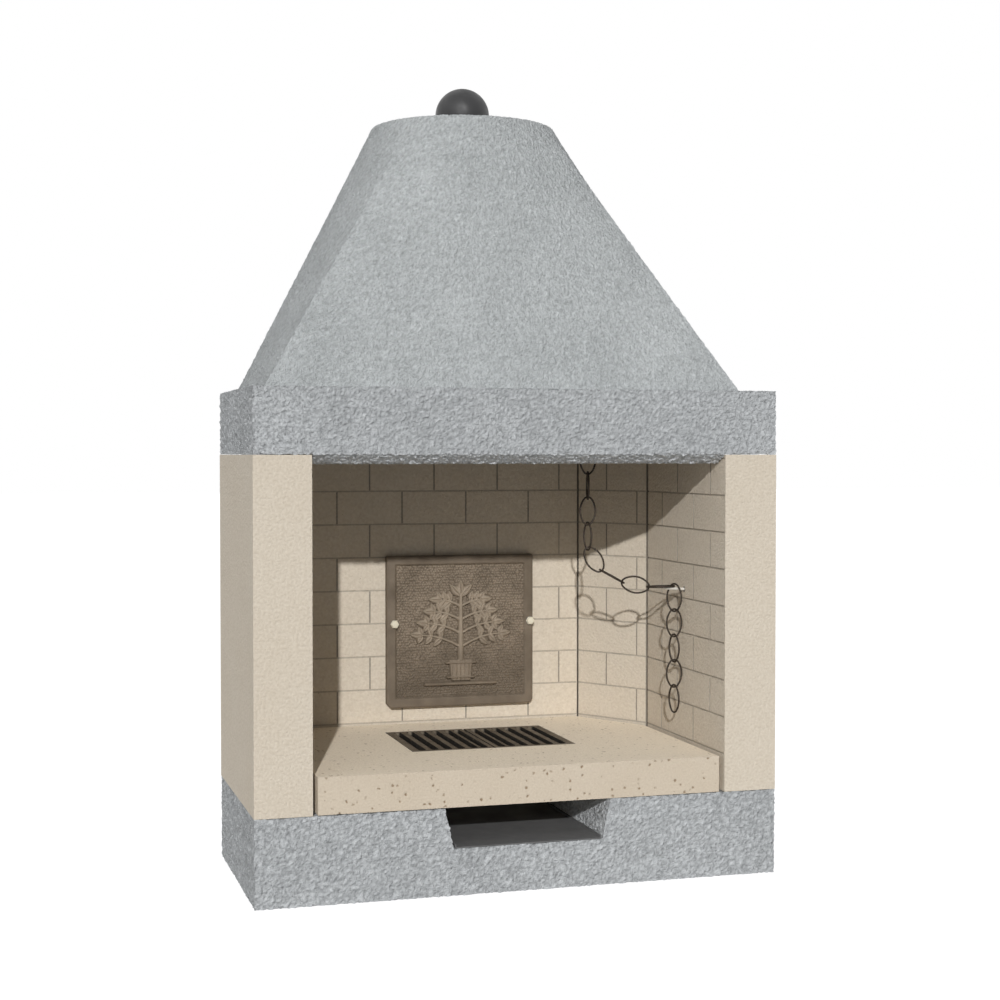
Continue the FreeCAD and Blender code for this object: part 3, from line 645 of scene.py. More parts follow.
def metal(
    name, base, dark, light, patch, grain, grain_depth, roughness, metallic, wear, relief_shading=0.0, soot_and_slot_shade=None,
):
    """Iron, steel or painted metal: clouded colour, a fine grain, and brighter worn edges.
    Where asked it paints shade in the relief's hollows and light on its crests, and darkens the side faces
    as soot and the deeper parts as painted shade.
    """
    finish, tree = new_finish(name)
    fine = mottle(tree, grain, detail=3.0)
    broad = mottle(tree, patch, detail=4.0)
    colour = blend(tree, calc(tree, "MULTIPLY", broad, CLOUD_SHADE), base, dark)
    colour = blend(tree, calc(tree, "MULTIPLY", fine, SPECK_SHADE), colour, dark)
    # Painted shade in the relief's low parts and painted light on its crests, from the relief the mesh
    # carries.
    if relief_shading:
        relief = marked(tree, "relief")
        colour = blend(tree, map_range(tree, relief, *IRON_HOLLOW_SHADE, 0.0, relief_shading), colour, dark)
        colour = blend(tree, map_range(tree, relief, *IRON_CREST_LIGHT, 0.0, relief_shading), colour, light)
    # Soot on the side faces, and painted shade on everything lower than the given level, as in a grate's
    # slots.
    if soot_and_slot_shade:
        soot_shade_tone, slot_shade_level = soot_and_slot_shade
        facing = put(tree, "ShaderNodeNewGeometry").outputs["True Normal"]
        sideways = put(tree, "ShaderNodeSeparateXYZ", {0: facing}).outputs[0]
        sides = map_range(tree, calc(tree, "ABSOLUTE", sideways), *SIDE_TILT)
        height = put(tree, "ShaderNodeSeparateXYZ", {0: object_place(tree)}).outputs[2]
        deep_shade = map_range(tree, height, slot_shade_level, slot_shade_level - SLOT_SHADE_FADE)
        colour = blend(tree, calc(tree, "MAXIMUM", sides, deep_shade), colour, soot_shade_tone)
    worn = use_group(tree, wear_group, METAL_WEAR)
    colour = blend(tree, calc(tree, "MULTIPLY", worn, wear), colour, light)
    matt = map_range(tree, broad, 0.0, 1.0, roughness - ROUGH_SPREAD, min(1.0, roughness + ROUGH_SPREAD))
    close_finish(tree, colour, matt, calc(tree, "MULTIPLY", fine, grain_depth), Metallic=metallic)
    return finish


sheet_finish = metal(
    "ashy_black_sheet", tone(104, 104, 104), tone(78, 78, 78), tone(140, 140, 138), patch=0.08, grain=0.003,
    grain_depth=0.0001, roughness=0.7, metallic=0.2, wear=0.5,
)
ash_tray = cad_piece("ash_tray_sheet", "ash_tray", SHEET_EASE, sheet_finish)
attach(ash_tray, "ash_tray")
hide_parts("ash_tray")

# Firebox walls. Five blocks of beige refractory concrete on the plinth: two side walls, two diagonal
# corners and a back. The brick pattern is moulded into their inner faces, and open joints are left where
# the blocks meet.
FIREBOX_HALF = -wall_high.x
FIREBOX_FLANK_END = 0.085
FIREBOX_REAR = 0.285
FIREBOX_REAR_HALF = 0.366
WALL_EASE = 0.0008
GROOVE_REACH = (0.0006, 0.006)
GROOVE_FLOOR = 0.0017
GROOVE_SHADE = 0.3
UPRIGHT_SHADE = 0.52
UPRIGHT_WIDTH = 0.008
UPRIGHT_HEIGHT = 0.02
SIDE_SEAMS = [(-FIREBOX_HALF, FIREBOX_FLANK_END), (FIREBOX_HALF, FIREBOX_FLANK_END)]
SEAM_PLACES = SIDE_SEAMS + [(-FIREBOX_REAR_HALF, FIREBOX_REAR), (FIREBOX_REAR_HALF, FIREBOX_REAR)]
SEAM_REACH = 0.006
SEAM_STRIP = 0.0046
SEAM_SHADE = 0.66
FRONT_SHADE = 0.05
FLANK_SHADE = 0.08
FRONT_BAND = 0.02
FACE_REACH = 0.001
WINDING_CORNERS = 12
UPRIGHT_TILT = 0.3
END_TILT = 0.93
ARRIS_TILT = (0.2, 0.995)
CORNER_FACING = (0.85, -0.527)
CORNER_OFFSET = -0.4612
WALL_FACES = {
    "left_wall": (Vector((1.0, 0.0, 0.0)), -FIREBOX_HALF),
    "right_wall": (Vector((-1.0, 0.0, 0.0)), -FIREBOX_HALF),
    "left_corner": (Vector((CORNER_FACING[0], CORNER_FACING[1], 0.0)), CORNER_OFFSET),
    "right_corner": (Vector((-CORNER_FACING[0], CORNER_FACING[1], 0.0)), CORNER_OFFSET),
    "back_wall": (Vector((0.0, -1.0, 0.0)), -FIREBOX_REAR),
}
# The joint tone is painted shade: the marks below lay it in the grooves, in and beside the seams, and
# lightly on the blocks' fronts and outer sides.
refractory_cast = mineral(
    "beige_refractory", tone(226, 215, 198), tone(187, 172, 150), tone(234, 225, 210), patch=0.22,
    grain=0.006, grain_shade=0.35, grain_depth=0.0012, roughness=0.86,
    pits=(0.022, 0.0016, 0.35, 0.0007, tone(170, 154, 132)), wear=0.3, joint=tone(46, 39, 32), chalky=0.15,
)


def soften_grooves(piece, facing, along, offset):
    """Fills the grooves a little, as a mould's rounded ribs do, and cuts a strip beside each side seam,
    which the joint marks paint dark as the seam's shade.
    """
    bm = bmesh.new()
    bm.from_mesh(piece.data)
    winding = [face for face in bm.faces if len(face.verts) > WINDING_CORNERS]
    bmesh.ops.triangulate(bm, faces=winding)
    for x, y in SIDE_SEAMS:
        seam = Vector((x, y, 0.0))
        if abs(offset - facing.dot(seam)) < FACE_REACH:
            for step in (-SEAM_STRIP, SEAM_STRIP):
                parts = bm.verts[:] + bm.edges[:] + bm.faces[:]
                bmesh.ops.bisect_plane(bm, geom=parts, plane_co=seam + along * step, plane_no=along)
    for vert in bm.verts:
        depth = offset - facing.dot(vert.co)
        if GROOVE_FLOOR < depth < GROOVE_REACH[1]:
            vert.co += facing * (depth - GROOVE_FLOOR)
    bm.to_mesh(piece.data)
    bm.free()


def seam_gap(centre, seams):
    return min(math.hypot(centre.x - x, centre.y - y) for x, y in seams)


def mark_painted_shade(piece, facing, along, offset):
    """Marks the painted shade: in the grooves, on the ends where two blocks meet and the strips beside the
    side seams, and a little on the fronts and outer sides.
    """
    mesh = piece.data
    layer = mesh.attributes.new("joint", "FLOAT", "FACE")
    for face, mark in zip(mesh.polygons, layer.data):
        corners = [mesh.vertices[index].co for index in face.vertices]
        depths = [offset - facing.dot(corner) for corner in corners]
        run = [along.dot(corner) for corner in corners]
        rise = [corner.z for corner in corners]
        tilt = abs(face.normal.dot(facing))
        shallow = max(depths) < GROOVE_REACH[1]
        groove = shallow and sum(depths) / len(depths) > GROOVE_REACH[0]
        stands = max(run) - min(run) < UPRIGHT_WIDTH and max(rise) - min(rise) > UPRIGHT_HEIGHT
        upright = abs(face.normal.z) < UPRIGHT_TILT and tilt < END_TILT
        block_end = upright and max(depths) > GROOVE_REACH[1] and face.center.y > FRONT + FRONT_BAND
        beside = seam_gap(face.center, SEAM_PLACES) < SEAM_REACH
        arris = beside and shallow and ARRIS_TILT[0] < tilt < ARRIS_TILT[1]
        # Painted shade: block ends in the open joints, arrises beside the seams and strips beside the side
        # seams are darkest, and the grooves lighter.
        if block_end or arris or seam_gap(face.center, SIDE_SEAMS) < SEAM_STRIP:
            mark.value = SEAM_SHADE
        elif groove:
            mark.value = UPRIGHT_SHADE if stands else GROOVE_SHADE
        # Painted shade: a slight darkening on the blocks' front faces and outer sides.
        elif face.center.y < FRONT + FACE_REACH:
            mark.value = FRONT_SHADE
        elif abs(face.center.x) > HALF_WIDTH - FACE_REACH:
            mark.value = FLANK_SHADE


for wall_node, (wall_facing, wall_offset) in WALL_FACES.items():
    wall = cad_copy(wall_node + "_block", wall_node)
    wall_along = Vector((-wall_facing.y, wall_facing.x, 0.0)).normalized()
    soften_grooves(wall, wall_facing, wall_along, wall_offset)
    ease_edges(wall, WALL_EASE, smooth=False)
    mark_painted_shade(wall, wall_facing, wall_along, wall_offset)
    dress(wall, refractory_cast)
    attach(wall, "root")
    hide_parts(wall_node)

# Hearth slab. A thick plate of the same beige stone mix laid between the walls, with a ledged opening for
# the grate. Its faces are open-grained: small brown pits show where aggregate has dropped out.
slab_low, slab_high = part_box("hearth_slab")
SLAB_TOP = slab_high.z
SLAB_LEDGE = 0.264
SLAB_FRONT = slab_low.y
SLAB_FLANK_END = 0.08158
SLAB_REAR = slab_high.y
SLAB_HALF = slab_high.x
SLAB_SLOPE = 0.62
SEAT_X = (-0.2005, 0.2125)
SEAT_Y = (-0.1485, 0.1545)
SEAT_LEDGE = 0.014
SLAB_CELL = 0.0036
SLAB_DEEP_CELL = 1.3 * SLAB_CELL
SLAB_SMOOTH = 50
OPENING_COLUMN = 1
OPENING_ROWS = (1, 2)
SEAT_STEP_ROWS = (2, 2, 3)
PIT_SPACING = 0.015
PIT_RADIUS = 0.0058
PIT_SHARE = 0.5
PIT_DEPTH = 0.0022
PIT_BUMP = 0.001

# The hearth stone's faces turned up take the lighter upper tone: painted light.
slab_stone = mineral(
    "pitted_hearth_stone", tone(213, 200, 181), tone(182, 166, 144), tone(224, 213, 196), patch=0.15,
    grain=0.005, grain_shade=0.3, grain_depth=0.0008, roughness=0.84,
    pits=(PIT_SPACING, PIT_RADIUS, PIT_SHARE, PIT_BUMP, tone(150, 129, 104)), wear=0.3,
    upper=tone(244, 231, 210), chalky=0.25,
)
inner_x = (SEAT_X[0] + SEAT_LEDGE, SEAT_X[1] - SEAT_LEDGE)
inner_y = (SEAT_Y[0] + SEAT_LEDGE, SEAT_Y[1] - SEAT_LEDGE)


def slab_half(y):
    return SLAB_HALF - SLAB_SLOPE * max(0.0, y - SLAB_FLANK_END)


def slab_rows_y(hole_y):
    return [SLAB_FRONT, hole_y[0], SLAB_FLANK_END, hole_y[1], SLAB_REAR]


def slab_columns_x(y, hole_x):
    return [-slab_half(y), *hole_x, slab_half(y)]


slab_breaks_x = slab_columns_x(SLAB_FRONT, SEAT_X)
slab_breaks_y = slab_rows_y(SEAT_Y)
slab_counts_x = [cells(end - start, SLAB_CELL) for start, end in zip(slab_breaks_x, slab_breaks_x[1:])]
slab_counts_y = [cells(end - start, SLAB_DEEP_CELL) for start, end in zip(slab_breaks_y, slab_breaks_y[1:])]


def path_loop(points, counts, level):
    """Loop of points at a level along straight sides, each divided into its own count."""
    loop = []
    for start, end, count in zip(points, points[1:], counts):
        loop += line((*start, level), (*end, level), count)[:-1]
    return loop


def slab_face(bm, level, hole_x, hole_y):
    """One level face of the slab, six-sided, with a rectangular hole."""
    rows_y = slab_rows_y(hole_y)
    for row, (y0, y1) in enumerate(zip(rows_y, rows_y[1:])):
        lower_x = slab_columns_x(y0, hole_x)
        upper_x = slab_columns_x(y1, hole_x)
        for column, count in enumerate(slab_counts_x):
            if column == OPENING_COLUMN and row in OPENING_ROWS:
                continue
            lower = plan_line((lower_x[column], y0), (lower_x[column + 1], y0), count)
            upper = plan_line((upper_x[column], y1), (upper_x[column + 1], y1), count)
            span(bm, at(lower, level), at(upper, level), slab_counts_y[row])


def slab_rim(hole_x, hole_y, level):
    """Loop of points round the slab's outside, divided as its level faces are."""
    rows_y = slab_rows_y(hole_y)
    points = [(x, SLAB_FRONT) for x in slab_columns_x(SLAB_FRONT, hole_x)]
    points += [(slab_half(y), y) for y in rows_y[1:]]
    points += [(x, SLAB_REAR) for x in slab_columns_x(SLAB_REAR, hole_x)[-2::-1]]
    points += [(-slab_half(y), y) for y in rows_y[-2::-1]]
    counts = slab_counts_x + slab_counts_y + slab_counts_x[::-1] + slab_counts_y[::-1]
    return path_loop(points, counts, level)


def seat_loop(x, y, level):
    """Loop of points round the opening at a level, divided as the slab's level faces are."""
    points = [
        (x[0], y[0]), (x[1], y[0]), (x[1], SLAB_FLANK_END), (x[1], y[1]),
        (x[0], y[1]), (x[0], SLAB_FLANK_END), (x[0], y[0]),
    ]
    across = slab_counts_x[1]
    near, far = slab_counts_y[1:3]
    return path_loop(points, (across, near, far, across, far, near), level)


bm = new_block()
slab_face(bm, SLAB_TOP, SEAT_X, SEAT_Y)
slab_face(bm, PLINTH_TOP, inner_x, inner_y)
slab_foot = slab_rim(inner_x, inner_y, PLINTH_TOP)
slab_edge = slab_rim(SEAT_X, SEAT_Y, SLAB_TOP)
span(bm, slab_foot, slab_edge, cells(SLAB_TOP - PLINTH_TOP, SLAB_CELL), closed=True)
seat_loops = [
    seat_loop(SEAT_X, SEAT_Y, SLAB_TOP), seat_loop(SEAT_X, SEAT_Y, SLAB_LEDGE),
    seat_loop(inner_x, inner_y, SLAB_LEDGE), seat_loop(inner_x, inner_y, PLINTH_TOP),
]
for lower, upper, rows in zip(seat_loops, seat_loops[1:], SEAT_STEP_ROWS):
    span(bm, lower, upper, rows, rough=0.0, closed=True)
weld(bm)

# Pitted skin: holes sunk in the stone where its finish paints them brown
pitted_tree, pitted_in = geometry_tree("pitted_skin", "Spacing", "Radius", "Share", "Depth")
pitted_found = pit_mask(pitted_tree, "FunctionNodeSeparateColor", {}, pitted_in, 1.0)
pitted_rough = put(
    pitted_tree, "GeometryNodeInputNamedAttribute", {"Name": "rough"}, data_type="FLOAT"
).outputs[0]
pitted_inward = calc(pitted_tree, "MULTIPLY", pitted_in["Depth"], -1.0)
pitted_depth = calc(pitted_tree, "MULTIPLY", pitted_rough, pitted_inward)
pitted_push = calc(pitted_tree, "MULTIPLY", pitted_found, pitted_depth)
pitted_moved = push_out(pitted_tree, pitted_in["Geometry"], pitted_push)
close_tree(pitted_tree, pitted_moved, pitted_in["Finish"])

slab = link_object("hearth_plate", finished_mesh(bm, "hearth_plate"))
pitted_values = {
    "Spacing": PIT_SPACING, "Radius": PIT_RADIUS, "Share": PIT_SHARE, "Depth": PIT_DEPTH,
    "Finish": slab_stone,
}
make_real(slab, pitted_tree, pitted_values, SLAB_SMOOTH)
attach(slab, "root")
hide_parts("hearth_slab")

# Grate. Two loose halves of cast iron that drop onto the slab's ledge; ash falls through their slots.
# The bars are rounded off by the casting and scaled brown by the fire.
GRATE_EASE = 0.0016
GRATE_SHADE_DROP = 0.006
# The bars' sides are darkened as soot, and all that lies lower than a little under the slab's top is
# painted dark: painted shade in the slots.
grate_finish = metal(
    "fire_scaled_iron", tone(119, 108, 92), tone(90, 80, 66), tone(148, 137, 119), patch=0.03, grain=0.002,
    grain_depth=0.0003, roughness=0.75, metallic=0.1, wear=0.3,
    soot_and_slot_shade=(tone(30, 26, 20), SLAB_TOP - GRATE_SHADE_DROP),
)
for grate_node in ("grate_left", "grate_right"):
    grate = cad_piece(grate_node + "_casting", grate_node, GRATE_EASE, grate_finish)
    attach(grate, grate_node)
    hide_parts(grate_node)

# Fireback. A square iron plate, sand-cast with a raised rim, that shields the back wall. Its field is
# pebbled all over and carries a low relief of a leafy tree in a tub, a plain traditional ornament.
plate_low, plate_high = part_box("fireback")
PLATE_LEFT = plate_low.x
PLATE_LOW = plate_low.z
PLATE_SIDE = plate_high.x - plate_low.x
PLATE_BACK = plate_high.y
PLATE_FIELD = 0.015
PLATE_RIM = 0.006
PLATE_RIM_WIDTH = 0.027
PLATE_CORNER = 0.011
PLATE_TOP_CORNER = 0.0025
PLATE_EDGE_DROP = 0.0018
PLATE_EDGE_WIDTH = 0.0035
PLATE_CELLS = 300
PLATE_SMOOTH = 50
PEBBLE_SPACING = 0.0068
PEBBLE_HEIGHT = 0.0034
PEBBLE_REACH = 0.62
PEBBLE_STRAY = 0.22
PEBBLE_SEED = 7
ORNAMENT_LIFT = 2.0
ORNAMENT_EDGE = 0.0015
ORNAMENT_FULL = 0.006
ORNAMENT_DROP = 0.002
TUB_FOOT = -0.118
TUB_FOOT_HALF = 0.030
TUB_FLARE = 0.10
TUB_MIDDLE = -0.103
TUB_RISE = 0.030
TUB_HEIGHT = 0.0045
TUB_EDGES = (0.004, 0.003)
STAVES_PER_METRE = 90
STAVE_GROOVE = 0.25
STAVE_GROOVE_WIDTH = 0.09
HOOP_LEVELS = (-0.122, -0.083)
HOOP_FOOT_HALF = 0.036
HOOP_RADIUS = 0.004
HOOP_HEIGHT = 0.0062
LEDGE_HALF = 0.095
LEDGE_LEVEL = -0.139
LEDGE_RADIUS = 0.0055
TRUNK_ENDS = (-0.075, 0.098)
TRUNK_RADII = (0.009, 0.005)
TRUNK_HEIGHT = 0.0055
BOUGH_PAIRS = 4
BOUGH_FOOT = -0.042
BOUGH_SPACING = 0.036
BOUGH_REACH = 0.104
BOUGH_SHORTENING = 0.017
BOUGH_STEPS = 4
BOUGH_RISE = 0.62
BOUGH_DROOP = 0.3
BOUGH_RADIUS = 0.0046
BOUGH_THINNING = 0.0016
BOUGH_HEIGHT = 0.0042
LEAF_LENGTH = 0.036
LEAF_SHORTENING = 0.010
LEAF_TURNS = (1.0, -1.1)
LEAF_BREADTH = 0.0095
LEAF_HEIGHT = 0.0046
LEAF_BELLY = 0.8
VEIN_DEPTH = 0.45
VEIN_WIDTH = 0.0016
TIP_BREADTH = 0.0105
TIP_HEIGHT = 0.005
BUD_FOOT = 0.092
BUD_TURNS = (-0.75, 0.0, 0.75)
BUD_LENGTH = 0.046
BUD_BREADTH = 0.0115
BUD_HEIGHT = 0.006
RIM_FALL = (-0.006, 0.001)
RIM_TONE = 0.2
GAP_TONE = 0.25
PEBBLE_TONE = 0.6
ORNAMENT_TONE = 0.3
PEBBLE_SINK = 0.4
PEBBLE_UNDER = 0.15
PLATE_FOOT_DARKENING = 0.65
PLATE_FOOT_RISE = 0.6
NEAR = 1e-5


def plate_smooth(low, high, value):
    share = np.clip((value - low) / (high - low), 0.0, 1.0)
    return share * share * (3 - 2 * share)


def bar_dome(u, v, start, end, radius_start, radius_end, height):
    """Rounded bar between two points of the field, thinner towards one end."""
    du, dv = end[0] - start[0], end[1] - start[1]
    share = np.clip(((u - start[0]) * du + (v - start[1]) * dv) / (du * du + dv * dv), 0, 1)
    distance = np.hypot(u - start[0] - share * du, v - start[1] - share * dv)
    radius = radius_start + (radius_end - radius_start) * share
    return height * np.sqrt(np.clip(1 - (distance / radius) ** 2, 0, 1))


def leaf_dome(u, v, foot, angle, length, breadth, height):
    """Pointed leaf with a vein along its middle."""
    along = (u - foot[0]) * math.cos(angle) + (v - foot[1]) * math.sin(angle)
    across = -(u - foot[0]) * math.sin(angle) + (v - foot[1]) * math.cos(angle)
    share = np.clip(along / length, 0, 1)
    half = breadth * np.sin(math.pi * share ** LEAF_BELLY) + NEAR
    dome = np.sqrt(np.clip(1 - (across / half) ** 2, 0, 1))
    vein = 1 - VEIN_DEPTH * np.exp(-(across / VEIN_WIDTH) ** 2)
    inside = (along > 0) & (along < length)
    return np.where(inside, height * dome * vein, 0)


def tree_relief(u, v):
    """Height of the ornament over the field, from its middle, in metres."""
    height = np.zeros_like(u)

    def lay(shape):
        np.maximum(height, shape, out=height)

    # Tub with two hoops, on a ledge
    tub_half = TUB_FOOT_HALF + TUB_FLARE * (v - TUB_FOOT)
    tub_sides = plate_smooth(0.0, TUB_EDGES[0], tub_half - np.abs(u))
    tub_ends = plate_smooth(0.0, TUB_EDGES[1], TUB_RISE - np.abs(v - TUB_MIDDLE))
    stave_gap = np.abs((u * STAVES_PER_METRE + 0.5) % 1 - 0.5)
    staves = 1 - STAVE_GROOVE * np.exp(-(stave_gap / STAVE_GROOVE_WIDTH) ** 2)
    lay(TUB_HEIGHT * tub_sides * tub_ends * staves)
    for level in HOOP_LEVELS:
        half = HOOP_FOOT_HALF + TUB_FLARE * (level - TUB_FOOT)
        lay(bar_dome(u, v, (-half, level), (half, level), HOOP_RADIUS, HOOP_RADIUS, HOOP_HEIGHT))
    ledge_ends = (-LEDGE_HALF, LEDGE_LEVEL), (LEDGE_HALF, LEDGE_LEVEL)
    lay(bar_dome(u, v, *ledge_ends, LEDGE_RADIUS, LEDGE_RADIUS, LEDGE_RADIUS))
    # Trunk, and pairs of boughs with leaves along them
    lay(bar_dome(u, v, (0.0, TRUNK_ENDS[0]), (0.0, TRUNK_ENDS[1]), *TRUNK_RADII, TRUNK_HEIGHT))
    for bough in range(BOUGH_PAIRS):
        root_v = BOUGH_FOOT + BOUGH_SPACING * bough
        reach = BOUGH_REACH - BOUGH_SHORTENING * bough
        for side in (-1, 1):
            previous = (0.0, root_v)
            for step in range(1, BOUGH_STEPS + 1):
                share = step / BOUGH_STEPS
                climb = BOUGH_RISE * share - BOUGH_DROOP * share * share
                point = (side * reach * share, root_v + reach * climb)
                thick = BOUGH_RADIUS - BOUGH_THINNING * (share - 1 / BOUGH_STEPS)
                thin = BOUGH_RADIUS - BOUGH_THINNING * share
                lay(bar_dome(u, v, previous, point, thick, thin, BOUGH_HEIGHT))
                heading = math.atan2(point[1] - previous[1], point[0] - previous[0])
                if step > 1:
                    size = LEAF_LENGTH - LEAF_SHORTENING * share
                    for turn in LEAF_TURNS:
                        lay(leaf_dome(u, v, point, heading + side * turn, size, LEAF_BREADTH, LEAF_HEIGHT))
                previous = point
            lay(leaf_dome(u, v, previous, heading, LEAF_LENGTH, TIP_BREADTH, TIP_HEIGHT))
    # Bud at the tip
    for turn in BUD_TURNS:
        heading = math.pi / 2 + turn
        lay(leaf_dome(u, v, (0.0, BUD_FOOT), heading, BUD_LENGTH, BUD_BREADTH, BUD_HEIGHT))
    return height


def pebble_field(x, z):
    """Small domes in staggered rows, each strayed a little: 1 on a dome's top, 0 between them."""
    count = int(PLATE_SIDE / PEBBLE_SPACING) + 4
    stray = np.random.default_rng(PEBBLE_SEED).uniform(-PEBBLE_STRAY, PEBBLE_STRAY, (count, count, 2))
    across, up = x / PEBBLE_SPACING + 1, z / PEBBLE_SPACING + 1
    nearest = np.full(x.shape, 2.0)
    for column_step in (-1, 0, 1):
        for row_step in (-1, 0, 1):
            column = np.clip(np.floor(across).astype(int) + column_step, 0, count - 1)
            row = np.clip(np.floor(up).astype(int) + row_step, 0, count - 1)
            centre_across = column + 0.25 + 0.5 * (row % 2) + stray[row, column, 0]
            centre_up = row + 0.5 + stray[row, column, 1]
            nearest = np.minimum(nearest, np.hypot(across - centre_across, up - centre_up))
    return np.clip(1 - (nearest / PEBBLE_REACH) ** 2, 0, 1)


plate_u = np.linspace(0.0, PLATE_SIDE, PLATE_CELLS + 1)
plate_x, plate_z = np.meshgrid(plate_u, plate_u)
plate_edge = np.minimum.reduce([plate_x, plate_z, PLATE_SIDE - plate_x, PLATE_SIDE - plate_z])
rim_ends = [PLATE_RIM_WIDTH + shift for shift in RIM_FALL]
rim_share = 1 - plate_smooth(*rim_ends, plate_edge)
ornament = ORNAMENT_LIFT * tree_relief(
    plate_x - PLATE_SIDE / 2, plate_z - PLATE_SIDE / 2 + ORNAMENT_DROP
)
pebbles = pebble_field(plate_x, plate_z)
bare = 1 - np.clip(ornament / ORNAMENT_EDGE, 0, 1)
# Relief values for the finish: the gaps between the pebbles are painted shade, the pebbles' and the
# ornament's tops painted light, and the rim takes an even, lower value that makes it darker.
plate_relief = rim_share * RIM_TONE + (1 - rim_share) * (
    bare * (GAP_TONE + PEBBLE_TONE * pebbles)
    + (1 - bare) * np.clip(ornament / ORNAMENT_FULL, ORNAMENT_TONE, 1)
)
# The field is made darker towards the bottom.
plate_relief -= PLATE_FOOT_DARKENING * (1 - plate_smooth(0.0, PLATE_FOOT_RISE * PLATE_SIDE, plate_z)) * (1 - rim_share)
plate_height = rim_share * PLATE_RIM + (1 - rim_share) * (
    ornament + PEBBLE_HEIGHT * (pebbles - PEBBLE_SINK) * (PEBBLE_UNDER + (1 - PEBBLE_UNDER) * bare)
)
plate_height -= PLATE_EDGE_DROP * (1 - plate_smooth(0.0, PLATE_EDGE_WIDTH, plate_edge))

bm = bmesh.new()
relief_layer = bm.verts.layers.float.new("relief")
plate_verts = []
for row_x, row_z, row_height, row_relief in zip(plate_x, plate_z, plate_height, plate_relief):
    plate_verts.append([])
    for x, z, height, relief in zip(row_x, row_z, row_height, row_relief):
        vert = bm.verts.new((PLATE_LEFT + x, PLATE_BACK - PLATE_FIELD - height, PLATE_LOW + z))
        vert[relief_layer] = relief
        plate_verts[-1].append(vert)
for low, high in zip(plate_verts, plate_verts[1:]):
    for column in range(PLATE_CELLS):
        bm.faces.new((low[column], low[column + 1], high[column + 1], high[column]))
plate_middle = Vector((PLATE_LEFT + PLATE_SIDE / 2, PLATE_BACK, PLATE_LOW + PLATE_SIDE / 2))
for side_x in (-1, 1):
    for side_z in (-1, 1):
        corner = PLATE_CORNER if side_z < 0 else PLATE_TOP_CORNER
        outward = Vector((side_x, 0, side_z))
        bmesh.ops.bisect_plane(
            bm, geom=bm.verts[:] + bm.edges[:] + bm.faces[:],
            plane_co=plate_middle + outward * (PLATE_SIDE / 2 - corner / 2),
            plane_no=outward.normalized(), clear_outer=True,
        )
plate_rear = {}
for edge in [edge for edge in bm.edges if edge.is_boundary]:
    for vert in edge.verts:
        if vert not in plate_rear:
            plate_rear[vert] = bm.verts.new((vert.co.x, PLATE_BACK, vert.co.z))
            plate_rear[vert][relief_layer] = vert[relief_layer]
    start, end = edge.verts
    bm.faces.new((start, end, plate_rear[end], plate_rear[start]))
close_holes(bm)
fireback = link_object("fireback_plate", finished_mesh(bm, "fireback_plate", PLATE_SMOOTH))
fireback_iron = metal(
    "brown_cast_iron", tone(147, 132, 114), tone(94, 83, 69), tone(182, 167, 148), patch=0.05, grain=0.0022,
    grain_depth=0.0004, roughness=0.7, metallic=0.1, wear=0.3, relief_shading=0.6,
)
dress(fireback, fireback_iron)
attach(fireback, "root")
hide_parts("fireback")

# Fireback bolts. Two hexagon-headed steel bolts through the plate's rim into the back wall, each on a
# plain washer. The heads are brushed over with cream heat-proof paint.
BOLT_PLACES = ((-0.149, 0.549), (0.223, 0.549))
BOLT_SEAT = 0.262
BOLT_REAR = 0.345
BOLT_FLATS = 0.019
BOLT_HEAD = 0.008
BOLT_SHANK = 0.010
BOLT_EASE = 0.0006
BOLT_SMOOTH = 25
WASHER_EASE = 0.0004
CHAMFER_LEVEL = 0.74
CHAMFER_SHARE = 0.8
SHANK_SIDES = 24
MERGE_REACH = 1e-5


def shifted(tree, part, shift):
    """Moves a part of a tree; shift gives an axis's number the way along it."""
    way = put(tree, "ShaderNodeCombineXYZ", shift)
    return put(tree, "GeometryNodeTransform", {"Geometry": part, "Translation": way})


def joined(tree, parts):
    node = put(tree, "GeometryNodeJoinGeometry")
    for part in parts:
        tree.links.new(part.outputs[0], node.inputs[0])
    return node


def merged(tree, part):
    return put(tree, "GeometryNodeMergeByDistance", {"Geometry": part, "Distance": MERGE_REACH})


def close_on_points(tree, points, part, finish):
    """Ends a tree with the part put on every point, turned as the point says."""
    turn = put(tree, "GeometryNodeInputNamedAttribute", {"Name": "turn"}, data_type="FLOAT_VECTOR")
    turning = put(tree, "FunctionNodeEulerToRotation", {0: turn})
    copies = put(
        tree, "GeometryNodeInstanceOnPoints", {"Points": points, "Instance": part, "Rotation": turning}
    )
    close_tree(tree, copies, finish)


# Bolt tree: a chamfered hexagon head and a round shank on every point, heads towards +Z of the point's turn
bolt_tree, bolt_in = geometry_tree("hex_bolts", "Flats", "Head", "Shank", "Length")
bolt_corner = calc(bolt_tree, "DIVIDE", bolt_in["Flats"], math.sqrt(3))
bolt_parts = []
for part_low, part_high, top_share in ((0.0, CHAMFER_LEVEL, 1.0), (CHAMFER_LEVEL, 1.0, CHAMFER_SHARE)):
    part = put(
        bolt_tree,
        "GeometryNodeMeshCone",
        {
            "Vertices": 6,
            "Radius Top": calc(bolt_tree, "MULTIPLY", bolt_corner, top_share),
            "Radius Bottom": bolt_corner,
            "Depth": calc(bolt_tree, "MULTIPLY", bolt_in["Head"], part_high - part_low),
        },
        fill_type="NONE",
    )
    lift = calc(bolt_tree, "MULTIPLY", bolt_in["Head"], part_low)
    bolt_parts.append(shifted(bolt_tree, part, {2: lift}))
